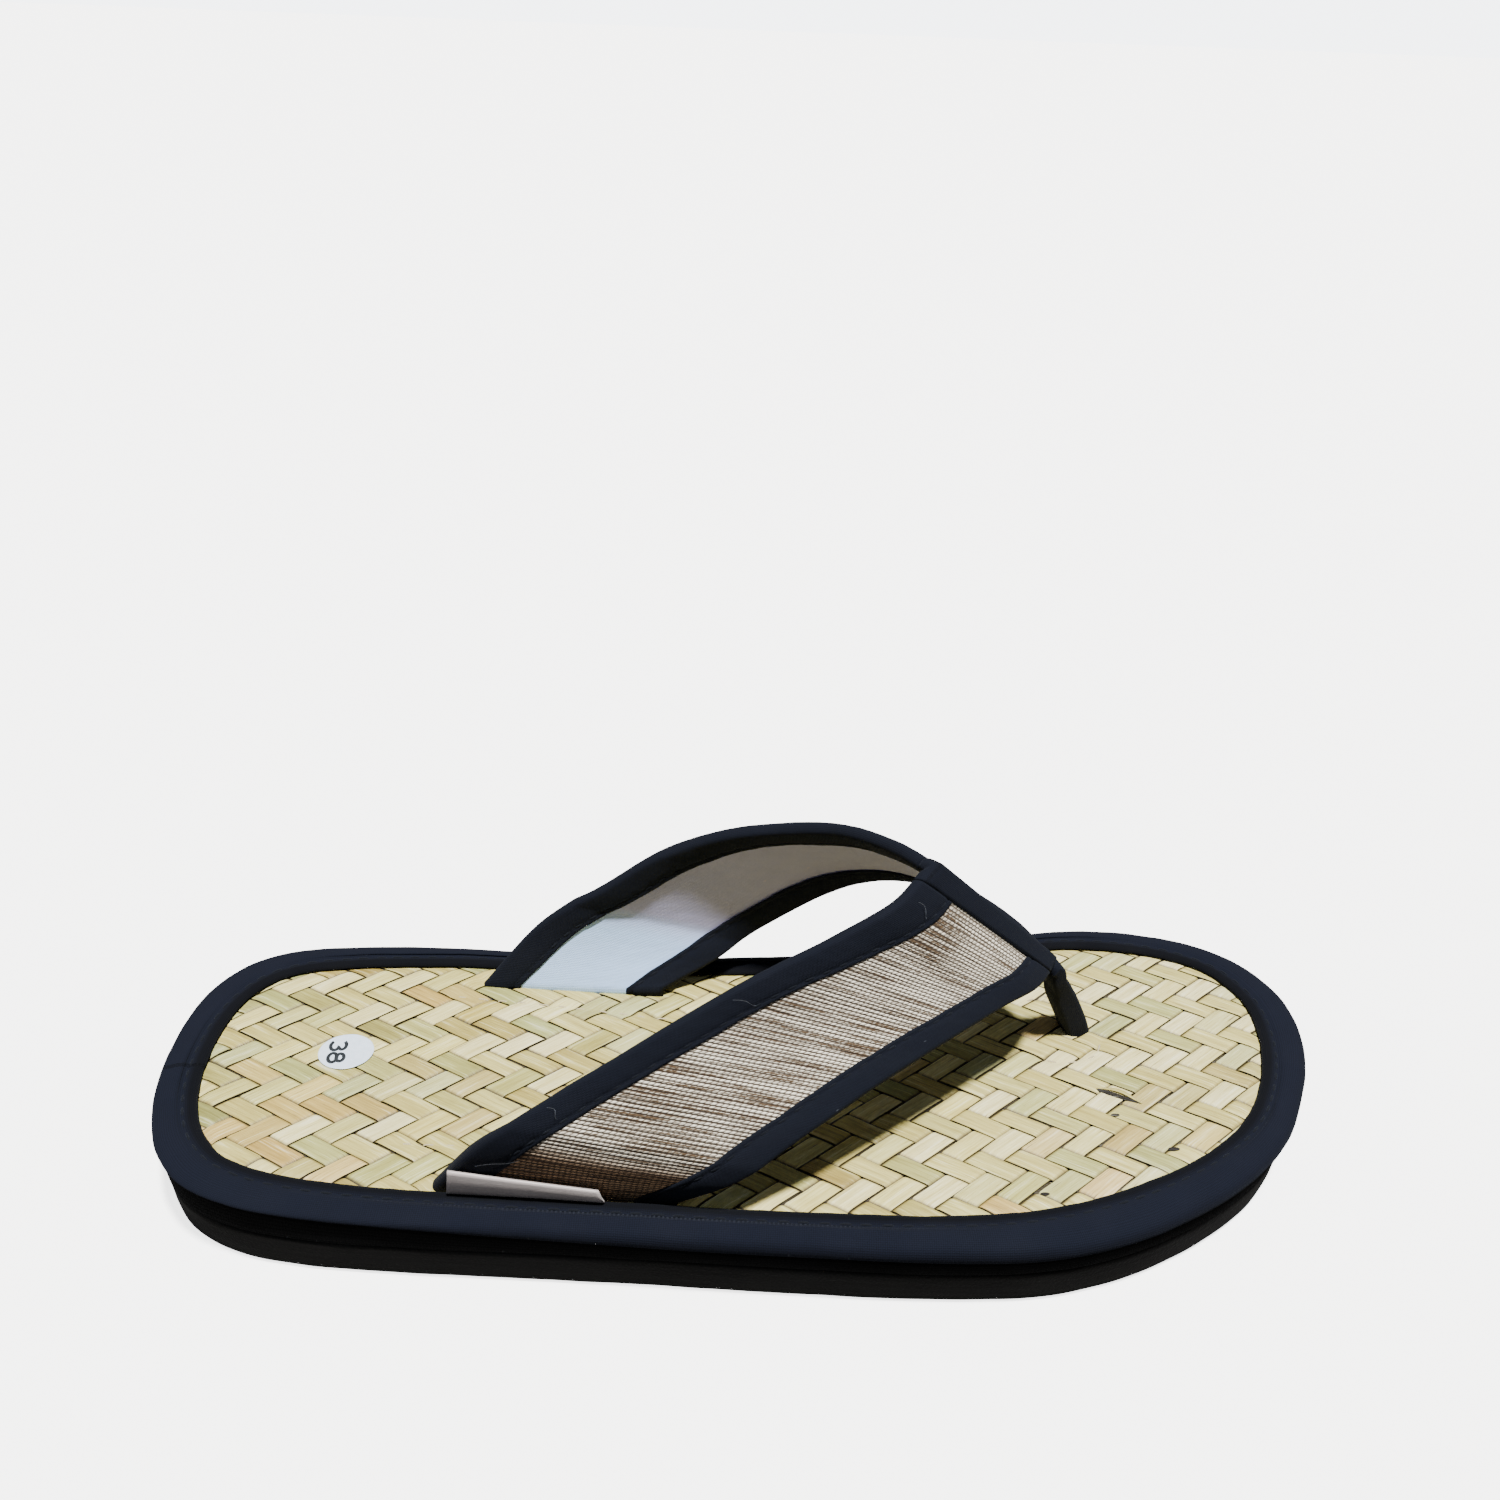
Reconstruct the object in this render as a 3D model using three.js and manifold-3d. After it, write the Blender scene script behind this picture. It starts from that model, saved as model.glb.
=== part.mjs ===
// A right-foot mat slipper: a foam sole, a cloth-covered board, a woven straw footbed edged with a cloth rim,
// and a two-winged strap that runs down to a toe post. Millimetres, +X to the toe, +Y to the inner side, +Z up.
import * as THREE from "three";
import Module from "manifold-3d";

const wasm = await Module();
wasm.setup();
const { Manifold } = wasm;

// Overall sizes.
const LENGTH = 261.5; // over the rim, heel to toe
const WIDTH = 108.7; // over the rim
const STRAP_RISE = 54.6; // from the footbed to the strap's highest point
const GAP = 0.3; // between neighbouring pieces

// The layers, from the floor up.
const FOAM_TOP = 8.0;
const BOARD_FOOT = FOAM_TOP + GAP;
const BOARD_TOP = 13.7;
const MAT_FOOT = BOARD_TOP + GAP;
const MAT_TOP = 16.0;
const FLOAT_RISE = 0.4; // the lengthwise rows of straw stand this much over the crosswise ones
const WEAVE_TOP = MAT_TOP + FLOAT_RISE;
const RIM_TOP = 17.4;
const RIM_HEM = 12.2; // the lowest line of the rim's cloth

// The strap's cloth.
const TAPE = 0.6; // thickness of the edge binding
const WALL = 1.4; // face cloth, padding and lining together
const STRAP_THICK = 2 * (TAPE + GAP) + WALL;
const TAPE_WIDTH = 9.0;
const RIDGE_OUTER_SIDE = 0.05; // reach of the ridge binding over each wing, as a share of the wing
const RIDGE_INNER_SIDE = 0.032;

// The outline over the rim, from the heel round the outer side to the toe and back along the inner side.
// Columns: along (share of LENGTH from the heel), across (share of WIDTH, inner side positive),
// band (mm of rim cloth seen from above).
const OUTLINE = [
  [0.0000, 0.0818, 9.0],
  [0.0050, -0.0470, 9.2],
  [0.0176, -0.1482, 9.7],
  [0.0425, -0.2356, 10.1],
  [0.0807, -0.2954, 10.0],
  [0.1323, -0.3340, 9.6],
  [0.2279, -0.3718, 8.9],
  [0.3541, -0.4104, 8.5],
  [0.5070, -0.4610, 8.6],
  [0.6332, -0.4959, 9.4],
  [0.6982, -0.4978, 10.2],
  [0.7594, -0.4702, 10.4],
  [0.8206, -0.4132, 10.0],
  [0.8779, -0.3340, 9.5],
  [0.9238, -0.2365, 9.1],
  [0.9582, -0.1206, 9.3],
  [0.9865, 0.0174, 10.2],
  [1.0000, 0.1738, 10.9],
  [0.9935, 0.2782, 11.1],
  [0.9760, 0.3615, 10.9],
  [0.9439, 0.4280, 10.4],
  [0.8992, 0.4735, 9.7],
  [0.8356, 0.4995, 9.0],
  [0.7602, 0.4855, 8.2],
  [0.6607, 0.4476, 7.8],
  [0.5454, 0.4270, 7.8],
  [0.4302, 0.4342, 7.8],
  [0.3151, 0.4637, 7.8],
  [0.2198, 0.4912, 8.2],
  [0.1399, 0.4996, 8.8],
  [0.0840, 0.4890, 9.6],
  [0.0449, 0.4451, 10.2],
  [0.0177, 0.3521, 9.9],
  [0.0043, 0.2336, 9.3],
];
const OUTLINE_POINTS = 72;

// The strap's four edges, each from its root in the footbed up to the ridge.
// Columns: along (share of LENGTH), across (share of WIDTH), height over the footbed (share of STRAP_RISE).
const EDGES = {
  outer_rear: [
    [0.2344, -0.2803, 0.000],
    [0.2784, -0.3344, 0.314],
    [0.3385, -0.3081, 0.494],
    [0.3915, -0.2704, 0.612],
    [0.4431, -0.2305, 0.717],
    [0.4928, -0.1896, 0.802],
    [0.5437, -0.1400, 0.861],
    [0.5956, -0.0761, 0.928],
    [0.6320, 0.0118, 0.999],
  ],
  outer_front: [
    [0.4212, -0.3451, 0.000],
    [0.4640, -0.3882, 0.170],
    [0.5179, -0.3548, 0.329],
    [0.5689, -0.2880, 0.410],
    [0.6124, -0.2213, 0.440],
    [0.6535, -0.1530, 0.451],
    [0.6940, -0.0782, 0.445],
    [0.7318, -0.0027, 0.419],
    [0.7589, 0.0909, 0.404],
  ],
  inner_rear: [
    [0.2605, 0.3642, 0.000],
    [0.3139, 0.3896, 0.285],
    [0.3668, 0.3741, 0.475],
    [0.4201, 0.3577, 0.670],
    [0.4728, 0.3293, 0.796],
    [0.5240, 0.2906, 0.869],
    [0.5691, 0.2275, 0.933],
    [0.6064, 0.1259, 0.973],
    [0.6320, 0.0118, 0.999],
  ],
  inner_front: [
    [0.4232, 0.3012, 0.000],
    [0.4701, 0.3477, 0.098],
    [0.5170, 0.3838, 0.249],
    [0.5648, 0.3839, 0.402],
    [0.6098, 0.3695, 0.508],
    [0.6558, 0.3385, 0.546],
    [0.7002, 0.2745, 0.519],
    [0.7337, 0.1914, 0.472],
    [0.7589, 0.0909, 0.404],
  ],
};
const WING_STEPS = 16; // stations along each wing

// The toe post, a folded tape. Columns: along, across (mm from the root's centre), height over the footbed (mm),
// thickness (mm).
const POST_ROOT = [0.7883, 0.1352]; // shares of LENGTH and WIDTH
const POST_WIDTH = 7.0;
const POST_TURN = 12; // degrees that its broad sides are turned from the slipper's width
const POST_PATH = [
  [-8.0, -4.1, 18.0, 3.8],
  [-6.6, -3.1, 15.0, 4.6],
  [-5.4, -2.3, 12.0, 5.6],
  [-2.5, -1.0, 6.0, 5.8],
  [-0.9, -0.4, 2.5, 5.8],
  [0.0, 0.0, 0.0, 5.8],
  [0.3, 0.0, MAT_FOOT - MAT_TOP, 5.8],
];

// The weave: straw strips in two directions, each passing over two and under two.
const STRIP_PITCH = 5.4; // along a strip, from one crossing to the next
const STRIP_LEAN = 36.5; // degrees from the slipper's length
const STRIP_SLACK = 0.35; // space left at each side of a raised strip

// The round size sticker at the heel and the folded side label at the outer wing's root.
const STICKER = { along: 0.1484, across: 0.1232, radius: 6.1, thick: 0.3 };
// The label's ends stand at some mm in from the strap's rear and front edges, at its foot and at its top.
const LABEL = { from: 0.012, to: 0.062, rear: [3.0, -1.3], front: [15.0, 20.5], thick: 0.3 };

const COLOURS = {
  foam: 0x15110f,
  navy: 0x22262f,
  straw: 0xd6cfae,
  tweed: 0xb59a88,
  paper: 0xeef1f4,
  satin: 0xf2f0ee,
};

const vec = (x, y, z) => new THREE.Vector3(x, y, z);
const alongX = (share) => (share - 0.5) * LENGTH;
const acrossY = (share) => share * WIDTH;

// Closes rows of points into a solid. Each row is a closed ring with the same number of points.
// The ends are covered by the flat faces that the plan gives; a ring of rings has none.
function skin(rows, plan, ringOfRings = false) {
  const count = rows[0].length;
  const points = rows.flat();
  const faces = [];
  const last = ringOfRings ? rows.length : rows.length - 1;
  for (let r = 0; r < last; r += 1) {
    const low = r * count;
    const high = ((r + 1) % rows.length) * count;
    for (let i = 0; i < count; i += 1) {
      const j = (i + 1) % count;
      faces.push([low + i, low + j, high + j], [low + i, high + j, high + i]);
    }
  }
  if (!ringOfRings) {
    const top = (rows.length - 1) * count;
    const turned = THREE.ShapeUtils.area(plan) < 0;
    for (const face of THREE.ShapeUtils.triangulateShape(plan, [])) {
      const [a, b, c] = turned ? [...face].reverse() : face;
      faces.push([c, b, a], [top + a, top + b, top + c]);
    }
  }
  return manifoldOf(points, faces);
}

function manifoldOf(points, faces) {
  const build = (list) =>
    new Manifold(
      new wasm.Mesh({
        numProp: 3,
        vertProperties: new Float32Array(points.flatMap((p) => [p.x, p.y, p.z])),
        triVerts: new Uint32Array(list.flat()),
      }),
    );
  const solid = build(faces);
  if (solid.volume() > 0) return solid;
  return build(faces.map(([a, b, c]) => [c, b, a]));
}

const flat = (row) => row.map((p) => new THREE.Vector2(p.x, p.y));

// The rim's outline, each point with its inward direction and the width of its band.
const outline = (() => {
  const table = OUTLINE.map(([along, across, band]) => vec(alongX(along), acrossY(across), band));
  const curve = new THREE.CatmullRomCurve3(table, true, "centripetal");
  const raw = curve.getSpacedPoints(OUTLINE_POINTS).slice(0, OUTLINE_POINTS);
  const box = new THREE.Box3().setFromPoints(raw);
  const size = box.getSize(vec(0, 0, 0));
  const middle = box.getCenter(vec(0, 0, 0));
  const fitted = raw.map((p) => ({
    x: ((p.x - middle.x) * LENGTH) / size.x,
    y: ((p.y - middle.y) * WIDTH) / size.y,
    band: p.z,
  }));
  return fitted.map((p, i) => {
    const before = fitted[(i + OUTLINE_POINTS - 1) % OUTLINE_POINTS];
    const after = fitted[(i + 1) % OUTLINE_POINTS];
    const along = new THREE.Vector2(after.x - before.x, after.y - before.y).normalize();
    return { ...p, inward: new THREE.Vector2(-along.y, along.x) };
  });
})();

// A ring at some inset from the outline. Inset and height may be numbers or functions of the outline's point.
function ring(inset, height) {
  const value = (rule, p) => (typeof rule === "function" ? rule(p) : rule);
  return outline.map((p) => {
    const d = value(inset, p);
    return vec(p.x + p.inward.x * d, p.y + p.inward.y * d, value(height, p));
  });
}

const plate = (rings) => skin(rings, flat(rings[0]));

// How far a point belongs to the tip of the toe, 0 to 1.
const tipShare = (p) =>
  THREE.MathUtils.smoothstep(p.x, 0.3 * LENGTH, 0.5 * LENGTH) *
  THREE.MathUtils.smoothstep(p.y, -0.05 * WIDTH, 0.3 * WIDTH);

// Foam sole: its sides draw in towards the floor, more so under the tip of the toe, where it lifts a little.
function foamSole() {
  const body = plate([
    ring((p) => 3.6 + 5.0 * tipShare(p), 0),
    ring((p) => 2.8 + 1.2 * tipShare(p), (p) => 0.8 + 1.2 * tipShare(p)),
    ring(2.2, 0.6 * FOAM_TOP),
    ring(1.9, FOAM_TOP - 0.6),
    ring(2.4, FOAM_TOP),
  ]);
  const grooves = [-98, -86, -74, 26, 38, 50, 62, 74, 86].map((x) =>
    Manifold.cube([3, 2 * WIDTH, 2], true).translate([x, 0, 0]),
  );
  return body.subtract(Manifold.union(grooves));
}

// Cloth-covered board, stepped in at the top where the rim's cloth turns under.
function board() {
  return plate([
    ring(2.4, BOARD_FOOT),
    ring(1.6, BOARD_FOOT + 0.6),
    ring(1.3, RIM_HEM - 1.6),
    ring(1.5, RIM_HEM - 0.5),
    ring(2.3, RIM_HEM - GAP),
    ring(2.3, BOARD_TOP),
  ]);
}

// Rim: a padded roll of cloth over the sole's edge, with a lip that lies on the footbed.
function rim() {
  const lip = MAT_TOP + GAP;
  const rows = [
    ring((p) => p.band, lip),
    ring((p) => p.band, lip + 0.6),
    ring((p) => p.band - 1.0, RIM_TOP - 0.15),
    ring((p) => p.band * 0.5, RIM_TOP),
    ring(2.4, RIM_TOP - 0.3),
    ring(0.8, RIM_TOP - 1.1),
    ring(0, RIM_TOP - 2.5),
    ring(0.1, RIM_TOP - 3.8),
    ring(0.9, RIM_HEM + 0.2),
    ring(2.0, RIM_HEM),
    ring(2.0, MAT_FOOT),
    ring((p) => p.band - 4.3, MAT_FOOT),
    ring((p) => p.band - 4.3, lip),
  ];
  return skin(rows, null, true);
}

// The raised strips of the weave, one slanted block for each place where a strip passes over two others.
function raisedStrips() {
  const lean = THREE.MathUtils.degToRad(STRIP_LEAN);
  const a = new THREE.Vector2(Math.cos(lean), Math.sin(lean)).multiplyScalar(STRIP_PITCH);
  const b = new THREE.Vector2(Math.cos(lean), -Math.sin(lean)).multiplyScalar(STRIP_PITCH);
  const slack = STRIP_SLACK / STRIP_PITCH;
  const corner = (i, j, z) => vec(a.x * i + b.x * j, a.y * i + b.y * j, z);
  const blocks = [];
  const reach = Math.ceil(LENGTH / STRIP_PITCH);
  for (let j = -reach; j <= reach; j += 1) {
    for (let i = -reach; i <= reach; i += 1) {
      if (((((i - j) % 4) + 4) % 4) !== 0) continue;
      const rows = [MAT_TOP - 0.5, WEAVE_TOP].map((z) => [
        corner(i + slack, j + slack, z),
        corner(i + 2 - slack, j + slack, z),
        corner(i + 2 - slack, j + 1 - slack, z),
        corner(i + slack, j + 1 - slack, z),
      ]);
      const inside = rows[0].every((p) => Math.abs(p.x) < LENGTH / 2 && Math.abs(p.y) < WIDTH / 2);
      if (inside) blocks.push(skin(rows, flat(rows[0])));
    }
  }
  return Manifold.union(blocks);
}

// One wing: its two edges as curves from the root to the ridge.
const wing = (rear, front) =>
  [rear, front].map((rows) => {
    const points = rows.map(([along, across, rise]) =>
      vec(alongX(along), acrossY(across), MAT_TOP + rise * STRAP_RISE),
    );
    return new THREE.CatmullRomCurve3(points, false, "centripetal");
  });
const WINGS = [wing(EDGES.outer_rear, EDGES.outer_front), wing(EDGES.inner_rear, EDGES.inner_front)];

// The strap's outside as a surface: u runs 0 to 1 up the outer wing and 1 to 2 down the inner one,
// v runs 0 to 1 from the rear edge to the front edge.
function onWing(side, share, v) {
  const [rear, front] = WINGS[side];
  return rear.getPoint(share).lerp(front.getPoint(share), v);
}

function wingNormal(side, share, v) {
  const step = 0.004;
  const low = Math.max(share - step, 0);
  const high = Math.min(share + step, 1);
  const up = onWing(side, high, v).sub(onWing(side, low, v));
  const over = onWing(side, share, 1).sub(onWing(side, share, 0));
  const normal = side === 0 ? up.cross(over) : over.cross(up);
  return normal.normalize().multiplyScalar(-1);
}

// A point of the strap: s mm in from the rear edge (edge 0) or the front edge (edge 1), depth t mm inside.
function strapPoint(u, edge, s, t) {
  const side = u <= 1 ? 0 : 1;
  const share = side === 0 ? u : 2 - u;
  const width = onWing(side, share, 0).distanceTo(onWing(side, share, 1));
  const v = edge === 0 ? s / width : 1 - s / width;
  const normal = wingNormal(side, share, v);
  if (Math.abs(u - 1) < 1e-9) {
    const other = wingNormal(1, 1, v);
    const bisector = normal.clone().add(other).normalize();
    normal.copy(bisector).divideScalar(bisector.dot(other));
  }
  return onWing(side, share, v).addScaledVector(normal, -t);
}

// Sweeps a section along the strap. The section's points are [edge, s, t].
function alongStrap(from, to, section) {
  const evenly = Array.from({ length: 2 * WING_STEPS + 1 }, (_, k) => k / WING_STEPS);
  const shared = [...evenly, 1 - RIDGE_OUTER_SIDE, 1 + RIDGE_INNER_SIDE].sort((a, b) => a - b);
  const between = shared.filter((u) => u > from + 0.001 && u < to - 0.001);
  const stations = [from, ...between, to];
  const rows = stations.map((u) => section.map(([edge, s, t]) => strapPoint(u, edge, s, t)));
  const width = 45;
  const plan = section.map(([edge, s, t]) => new THREE.Vector2(edge === 0 ? s : width - s, t));
  return { rows, plan };
}

// The strap's wall, let out by the given clearance, with its two roots reaching down into the footbed.
function strapWall(clearance, rootFoot) {
  const edgeIn = TAPE + GAP - clearance;
  const outside = TAPE + GAP - clearance;
  const inside = STRAP_THICK - TAPE - GAP + clearance;
  const lanes = [0, TAPE_WIDTH, 15];
  const section = [
    ...lanes.map((s) => [0, Math.max(s, edgeIn), outside]),
    ...[...lanes].reverse().map((s) => [1, Math.max(s, edgeIn), outside]),
    ...lanes.map((s) => [1, Math.max(s, edgeIn), inside]),
    ...[...lanes].reverse().map((s) => [0, Math.max(s, edgeIn), inside]),
  ];
  const { rows, plan } = alongStrap(0, 2, section);
  const root = (row) => row.map((p) => vec(p.x, p.y, rootFoot));
  return skin([root(rows[0]), ...rows, root(rows[rows.length - 1])], plan);
}

// Edge binding: a tape folded round the wall's edge.
function edgeBinding(edge, from, to) {
  const back = STRAP_THICK;
  const section = [
    [TAPE_WIDTH, 0.25],
    [TAPE_WIDTH - 1, 0],
    [0.8, 0],
    [0.2, 0.2],
    [0, 0.8],
    [0, back - 0.8],
    [0.2, back - 0.2],
    [0.8, back],
    [TAPE_WIDTH, back],
    [TAPE_WIDTH, back - TAPE],
    [TAPE, back - TAPE],
    [TAPE, TAPE],
    [TAPE_WIDTH, TAPE],
  ].map(([s, t]) => [edge, s, t]);
  if (edge === 1) section.reverse();
  const { rows, plan } = alongStrap(from, to, section);
  return skin(rows, plan).trimByPlane([0, 0, 1], WEAVE_TOP + GAP);
}

// Ridge binding: one tape over the ridge from the rear edge to the front one, folded under at both ends.
function ridgeBinding() {
  const back = STRAP_THICK;
  const fold = (edge) => [
    [edge, 15, 0],
    [edge, TAPE_WIDTH, 0],
    [edge, 0.8, 0],
    [edge, 0.2, 0.2],
    [edge, 0, 0.8],
    [edge, 0, back - 0.8],
    [edge, 0.2, back - 0.2],
    [edge, 0.8, back],
    [edge, TAPE_WIDTH, back],
    [edge, TAPE_WIDTH, back - TAPE],
    [edge, TAPE, back - TAPE],
    [edge, TAPE, TAPE],
    [edge, TAPE_WIDTH, TAPE],
    [edge, 15, TAPE],
  ];
  const section = [...fold(0), ...fold(1).reverse()];
  const { rows, plan } = alongStrap(1 - RIDGE_OUTER_SIDE, 1 + RIDGE_INNER_SIDE, section);
  return skin(rows, plan);
}

// Toe post: a folded tape from the strap's front point down into the footbed, thicker as it goes.
function toePost(clearance) {
  const foot = vec(alongX(POST_ROOT[0]), acrossY(POST_ROOT[1]), MAT_TOP);
  const start = strapPoint(1, 1, -GAP, STRAP_THICK / 2);
  const lead = start.clone().sub(strapPoint(1, 1, 6, STRAP_THICK / 2)).normalize();
  const centres = [
    start,
    start.clone().addScaledVector(lead, 0.5),
    ...POST_PATH.map(([x, y, z]) => foot.clone().add(vec(x, y, z))),
  ];
  const thickness = [STRAP_THICK, STRAP_THICK, ...POST_PATH.map((row) => row[3])];
  const turn = THREE.MathUtils.degToRad(POST_TURN);
  const corner = 1.1;
  const section = (thick) => {
    const half = [POST_WIDTH / 2 + clearance, thick / 2 + clearance];
    return [[1, 1], [-1, 1], [-1, -1], [1, -1]].flatMap(([sx, sy]) => {
      const soft = [
        [half[0] * sx, (half[1] - corner) * sy],
        [(half[0] - 0.3 * corner) * sx, (half[1] - 0.3 * corner) * sy],
        [(half[0] - corner) * sx, half[1] * sy],
      ];
      return sx * sy > 0 ? soft : soft.reverse();
    });
  };
  const rows = centres.map((centre, k) => {
    const before = centres[Math.max(k - 1, 0)];
    const after = centres[Math.min(k + 1, centres.length - 1)];
    const run = k === 0 ? lead.clone() : after.clone().sub(before).normalize();
    if (k >= centres.length - 2) run.set(0, 0, -1);
    const across = vec(-Math.sin(turn), Math.cos(turn), 0);
    across.addScaledVector(run, -across.dot(run)).normalize();
    const through = across.clone().cross(run);
    return section(thickness[k]).map(([w, t]) =>
      centre.clone().addScaledVector(across, w).addScaledVector(through, t),
    );
  });
  return skin(rows, section(STRAP_THICK).map(([w, t]) => new THREE.Vector2(w, t)));
}

// Woven footbed, with slits for the strap's roots and the toe post. The raised strips stop short of them.
function mat() {
  const edge = (p) => p.band - 4;
  const base = plate([ring(edge, MAT_FOOT), ring(edge, MAT_TOP)]);
  const open = (p) => p.band + 0.6;
  const clear = plate([ring(open, MAT_FOOT), ring(open, MAT_TOP + 5)]);
  const sticker = disc(STICKER.radius + 0.5, MAT_TOP, WEAVE_TOP + 1);
  const postHole = toePost(GAP).add(toePost(GAP).translate([0.2, 0, -2]));
  const strips = raisedStrips().intersect(clear).subtract(sticker).subtract(strapWall(3 * GAP, MAT_FOOT - 1));
  return base.add(strips).subtract(strapWall(GAP, MAT_FOOT - 1)).subtract(postHole);
}

function disc(radius, foot, top) {
  return Manifold.cylinder(top - foot, radius, radius, 40).translate([
    alongX(STICKER.along),
    acrossY(STICKER.across),
    foot,
  ]);
}

// Folded label sewn to the outer wing at its root, standing just off the binding.
function sideLabel() {
  const rows = [];
  const steps = 4;
  for (let k = 0; k <= steps; k += 1) {
    const up = k / steps;
    const u = THREE.MathUtils.lerp(LABEL.from, LABEL.to, up);
    const lanes = [0, 0.33, 0.67, 1];
    const at = (share, t) => {
      const rear = strapPoint(u, 0, THREE.MathUtils.lerp(...LABEL.rear, up), t);
      const front = strapPoint(u, 1, THREE.MathUtils.lerp(...LABEL.front, up), t);
      return rear.lerp(front, share);
    };
    const low = lanes.map((share) => at(share, -GAP));
    const high = [...lanes].reverse().map((share) => at(share, -GAP - LABEL.thick));
    rows.push([...low, ...high]);
  }
  const plan = [
    ...[0, 1, 2, 3].map((x) => new THREE.Vector2(x, 0)),
    ...[3, 2, 1, 0].map((x) => new THREE.Vector2(x, 1)),
  ];
  return skin(rows, plan).trimByPlane([0, 0, 1], RIM_TOP + GAP);
}

// Turns a solid into a named mesh.
function node(name, solid, colour) {
  const mesh = solid.getMesh();
  const geometry = new THREE.BufferGeometry();
  const stride = mesh.numProp;
  const positions = new Float32Array((mesh.vertProperties.length / stride) * 3);
  for (let i = 0; i < positions.length / 3; i += 1) {
    for (let k = 0; k < 3; k += 1) positions[3 * i + k] = mesh.vertProperties[stride * i + k];
  }
  geometry.setAttribute("position", new THREE.BufferAttribute(positions, 3));
  geometry.setIndex(new THREE.BufferAttribute(new Uint32Array(mesh.triVerts), 1));
  geometry.computeVertexNormals();
  const material = new THREE.MeshStandardMaterial({ color: colour, roughness: 0.9, flatShading: true });
  const made = new THREE.Mesh(geometry, material);
  made.name = name;
  return made;
}

const ridgeSpace = 0.0028; // share of a wing left between the ridge binding and the edge bindings
const outerEnd = 1 - RIDGE_OUTER_SIDE - ridgeSpace;
const innerStart = 1 + RIDGE_INNER_SIDE + ridgeSpace;

const group = new THREE.Group();
group.name = "woven_mat_slipper";
group.add(
  node("outsole", foamSole(), COLOURS.foam),
  node("covered_board", board(), COLOURS.navy),
  node("rim_binding", rim(), COLOURS.navy),
  node("woven_footbed", mat(), COLOURS.straw),
  node("strap_upper", strapWall(0, MAT_FOOT), COLOURS.tweed),
  node("binding_outer_rear", edgeBinding(0, 0, outerEnd), COLOURS.navy),
  node("binding_outer_front", edgeBinding(1, 0, outerEnd), COLOURS.navy),
  node("binding_inner_rear", edgeBinding(0, innerStart, 2), COLOURS.navy),
  node("binding_inner_front", edgeBinding(1, innerStart, 2), COLOURS.navy),
  node("ridge_binding", ridgeBinding(), COLOURS.navy),
  node("toe_post", toePost(0), COLOURS.navy),
  node("side_label", sideLabel(), COLOURS.satin),
  node("size_sticker", disc(STICKER.radius, WEAVE_TOP - 0.1, WEAVE_TOP - 0.1 + STICKER.thick), COLOURS.paper),
);

export default group;
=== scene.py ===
"""Looks of a right-foot mat slipper: straw footbed, cloth rim, foam sole and a two-winged tweed strap.

Sizes below are in millimetres; meshes are made in metres. +X to the toe, +Y to the inner side, +Z up.
"""
import math

import bmesh
import bpy
import numpy as np
from mathutils import Matrix, Vector


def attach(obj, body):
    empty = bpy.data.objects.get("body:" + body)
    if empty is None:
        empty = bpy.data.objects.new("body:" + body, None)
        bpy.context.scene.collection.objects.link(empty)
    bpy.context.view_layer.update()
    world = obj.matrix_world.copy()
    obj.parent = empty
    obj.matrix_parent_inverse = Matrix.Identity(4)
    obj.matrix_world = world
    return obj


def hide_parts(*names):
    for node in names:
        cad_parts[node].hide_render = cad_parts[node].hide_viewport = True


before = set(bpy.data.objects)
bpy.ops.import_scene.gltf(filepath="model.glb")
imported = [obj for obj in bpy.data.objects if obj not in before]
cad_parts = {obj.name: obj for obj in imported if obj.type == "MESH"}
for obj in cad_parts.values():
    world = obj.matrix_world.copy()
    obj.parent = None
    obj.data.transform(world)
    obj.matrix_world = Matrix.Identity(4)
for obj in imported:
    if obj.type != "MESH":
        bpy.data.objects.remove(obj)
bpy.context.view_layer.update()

MM = 0.001

# Overall sizes and layers, as in the solids.
LENGTH = 261.5
WIDTH = 108.7
STRAP_RISE = 54.6
MAT_FOOT = 14.0
MAT_TOP = 16.0
WEAVE_TOP = 16.4
RIM_TOP = 17.4
RIM_HEM = 12.2
HEM_RISE = 0.7  # share of the rim's side taken up where its hem rises round the heel
STRAP_THICK = 3.2
TAPE_WIDTH = 9.0

# The outline over the rim: along (share of LENGTH from the heel), across (share of WIDTH), band of rim (mm).
OUTLINE = [
    (0.0000, 0.0818, 9.0), (0.0050, -0.0470, 9.2), (0.0176, -0.1482, 9.7), (0.0425, -0.2356, 10.1),
    (0.0807, -0.2954, 10.0), (0.1323, -0.3340, 9.6), (0.2279, -0.3718, 8.9), (0.3541, -0.4104, 8.5),
    (0.5070, -0.4610, 8.6), (0.6332, -0.4959, 9.4), (0.6982, -0.4978, 10.2), (0.7594, -0.4702, 10.4),
    (0.8206, -0.4132, 10.0), (0.8779, -0.3340, 9.5), (0.9238, -0.2365, 9.1), (0.9582, -0.1206, 9.3),
    (0.9865, 0.0174, 10.2), (1.0000, 0.1738, 10.9), (0.9935, 0.2782, 11.1), (0.9760, 0.3615, 10.9),
    (0.9439, 0.4280, 10.4), (0.8992, 0.4735, 9.7), (0.8356, 0.4995, 9.0), (0.7602, 0.4855, 8.2),
    (0.6607, 0.4476, 7.8), (0.5454, 0.4270, 7.8), (0.4302, 0.4342, 7.8), (0.3151, 0.4637, 7.8),
    (0.2198, 0.4912, 8.2), (0.1399, 0.4996, 8.8), (0.0840, 0.4890, 9.6), (0.0449, 0.4451, 10.2),
    (0.0177, 0.3521, 9.9), (0.0043, 0.2336, 9.3),
]
OUTLINE_POINTS = 480

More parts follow.
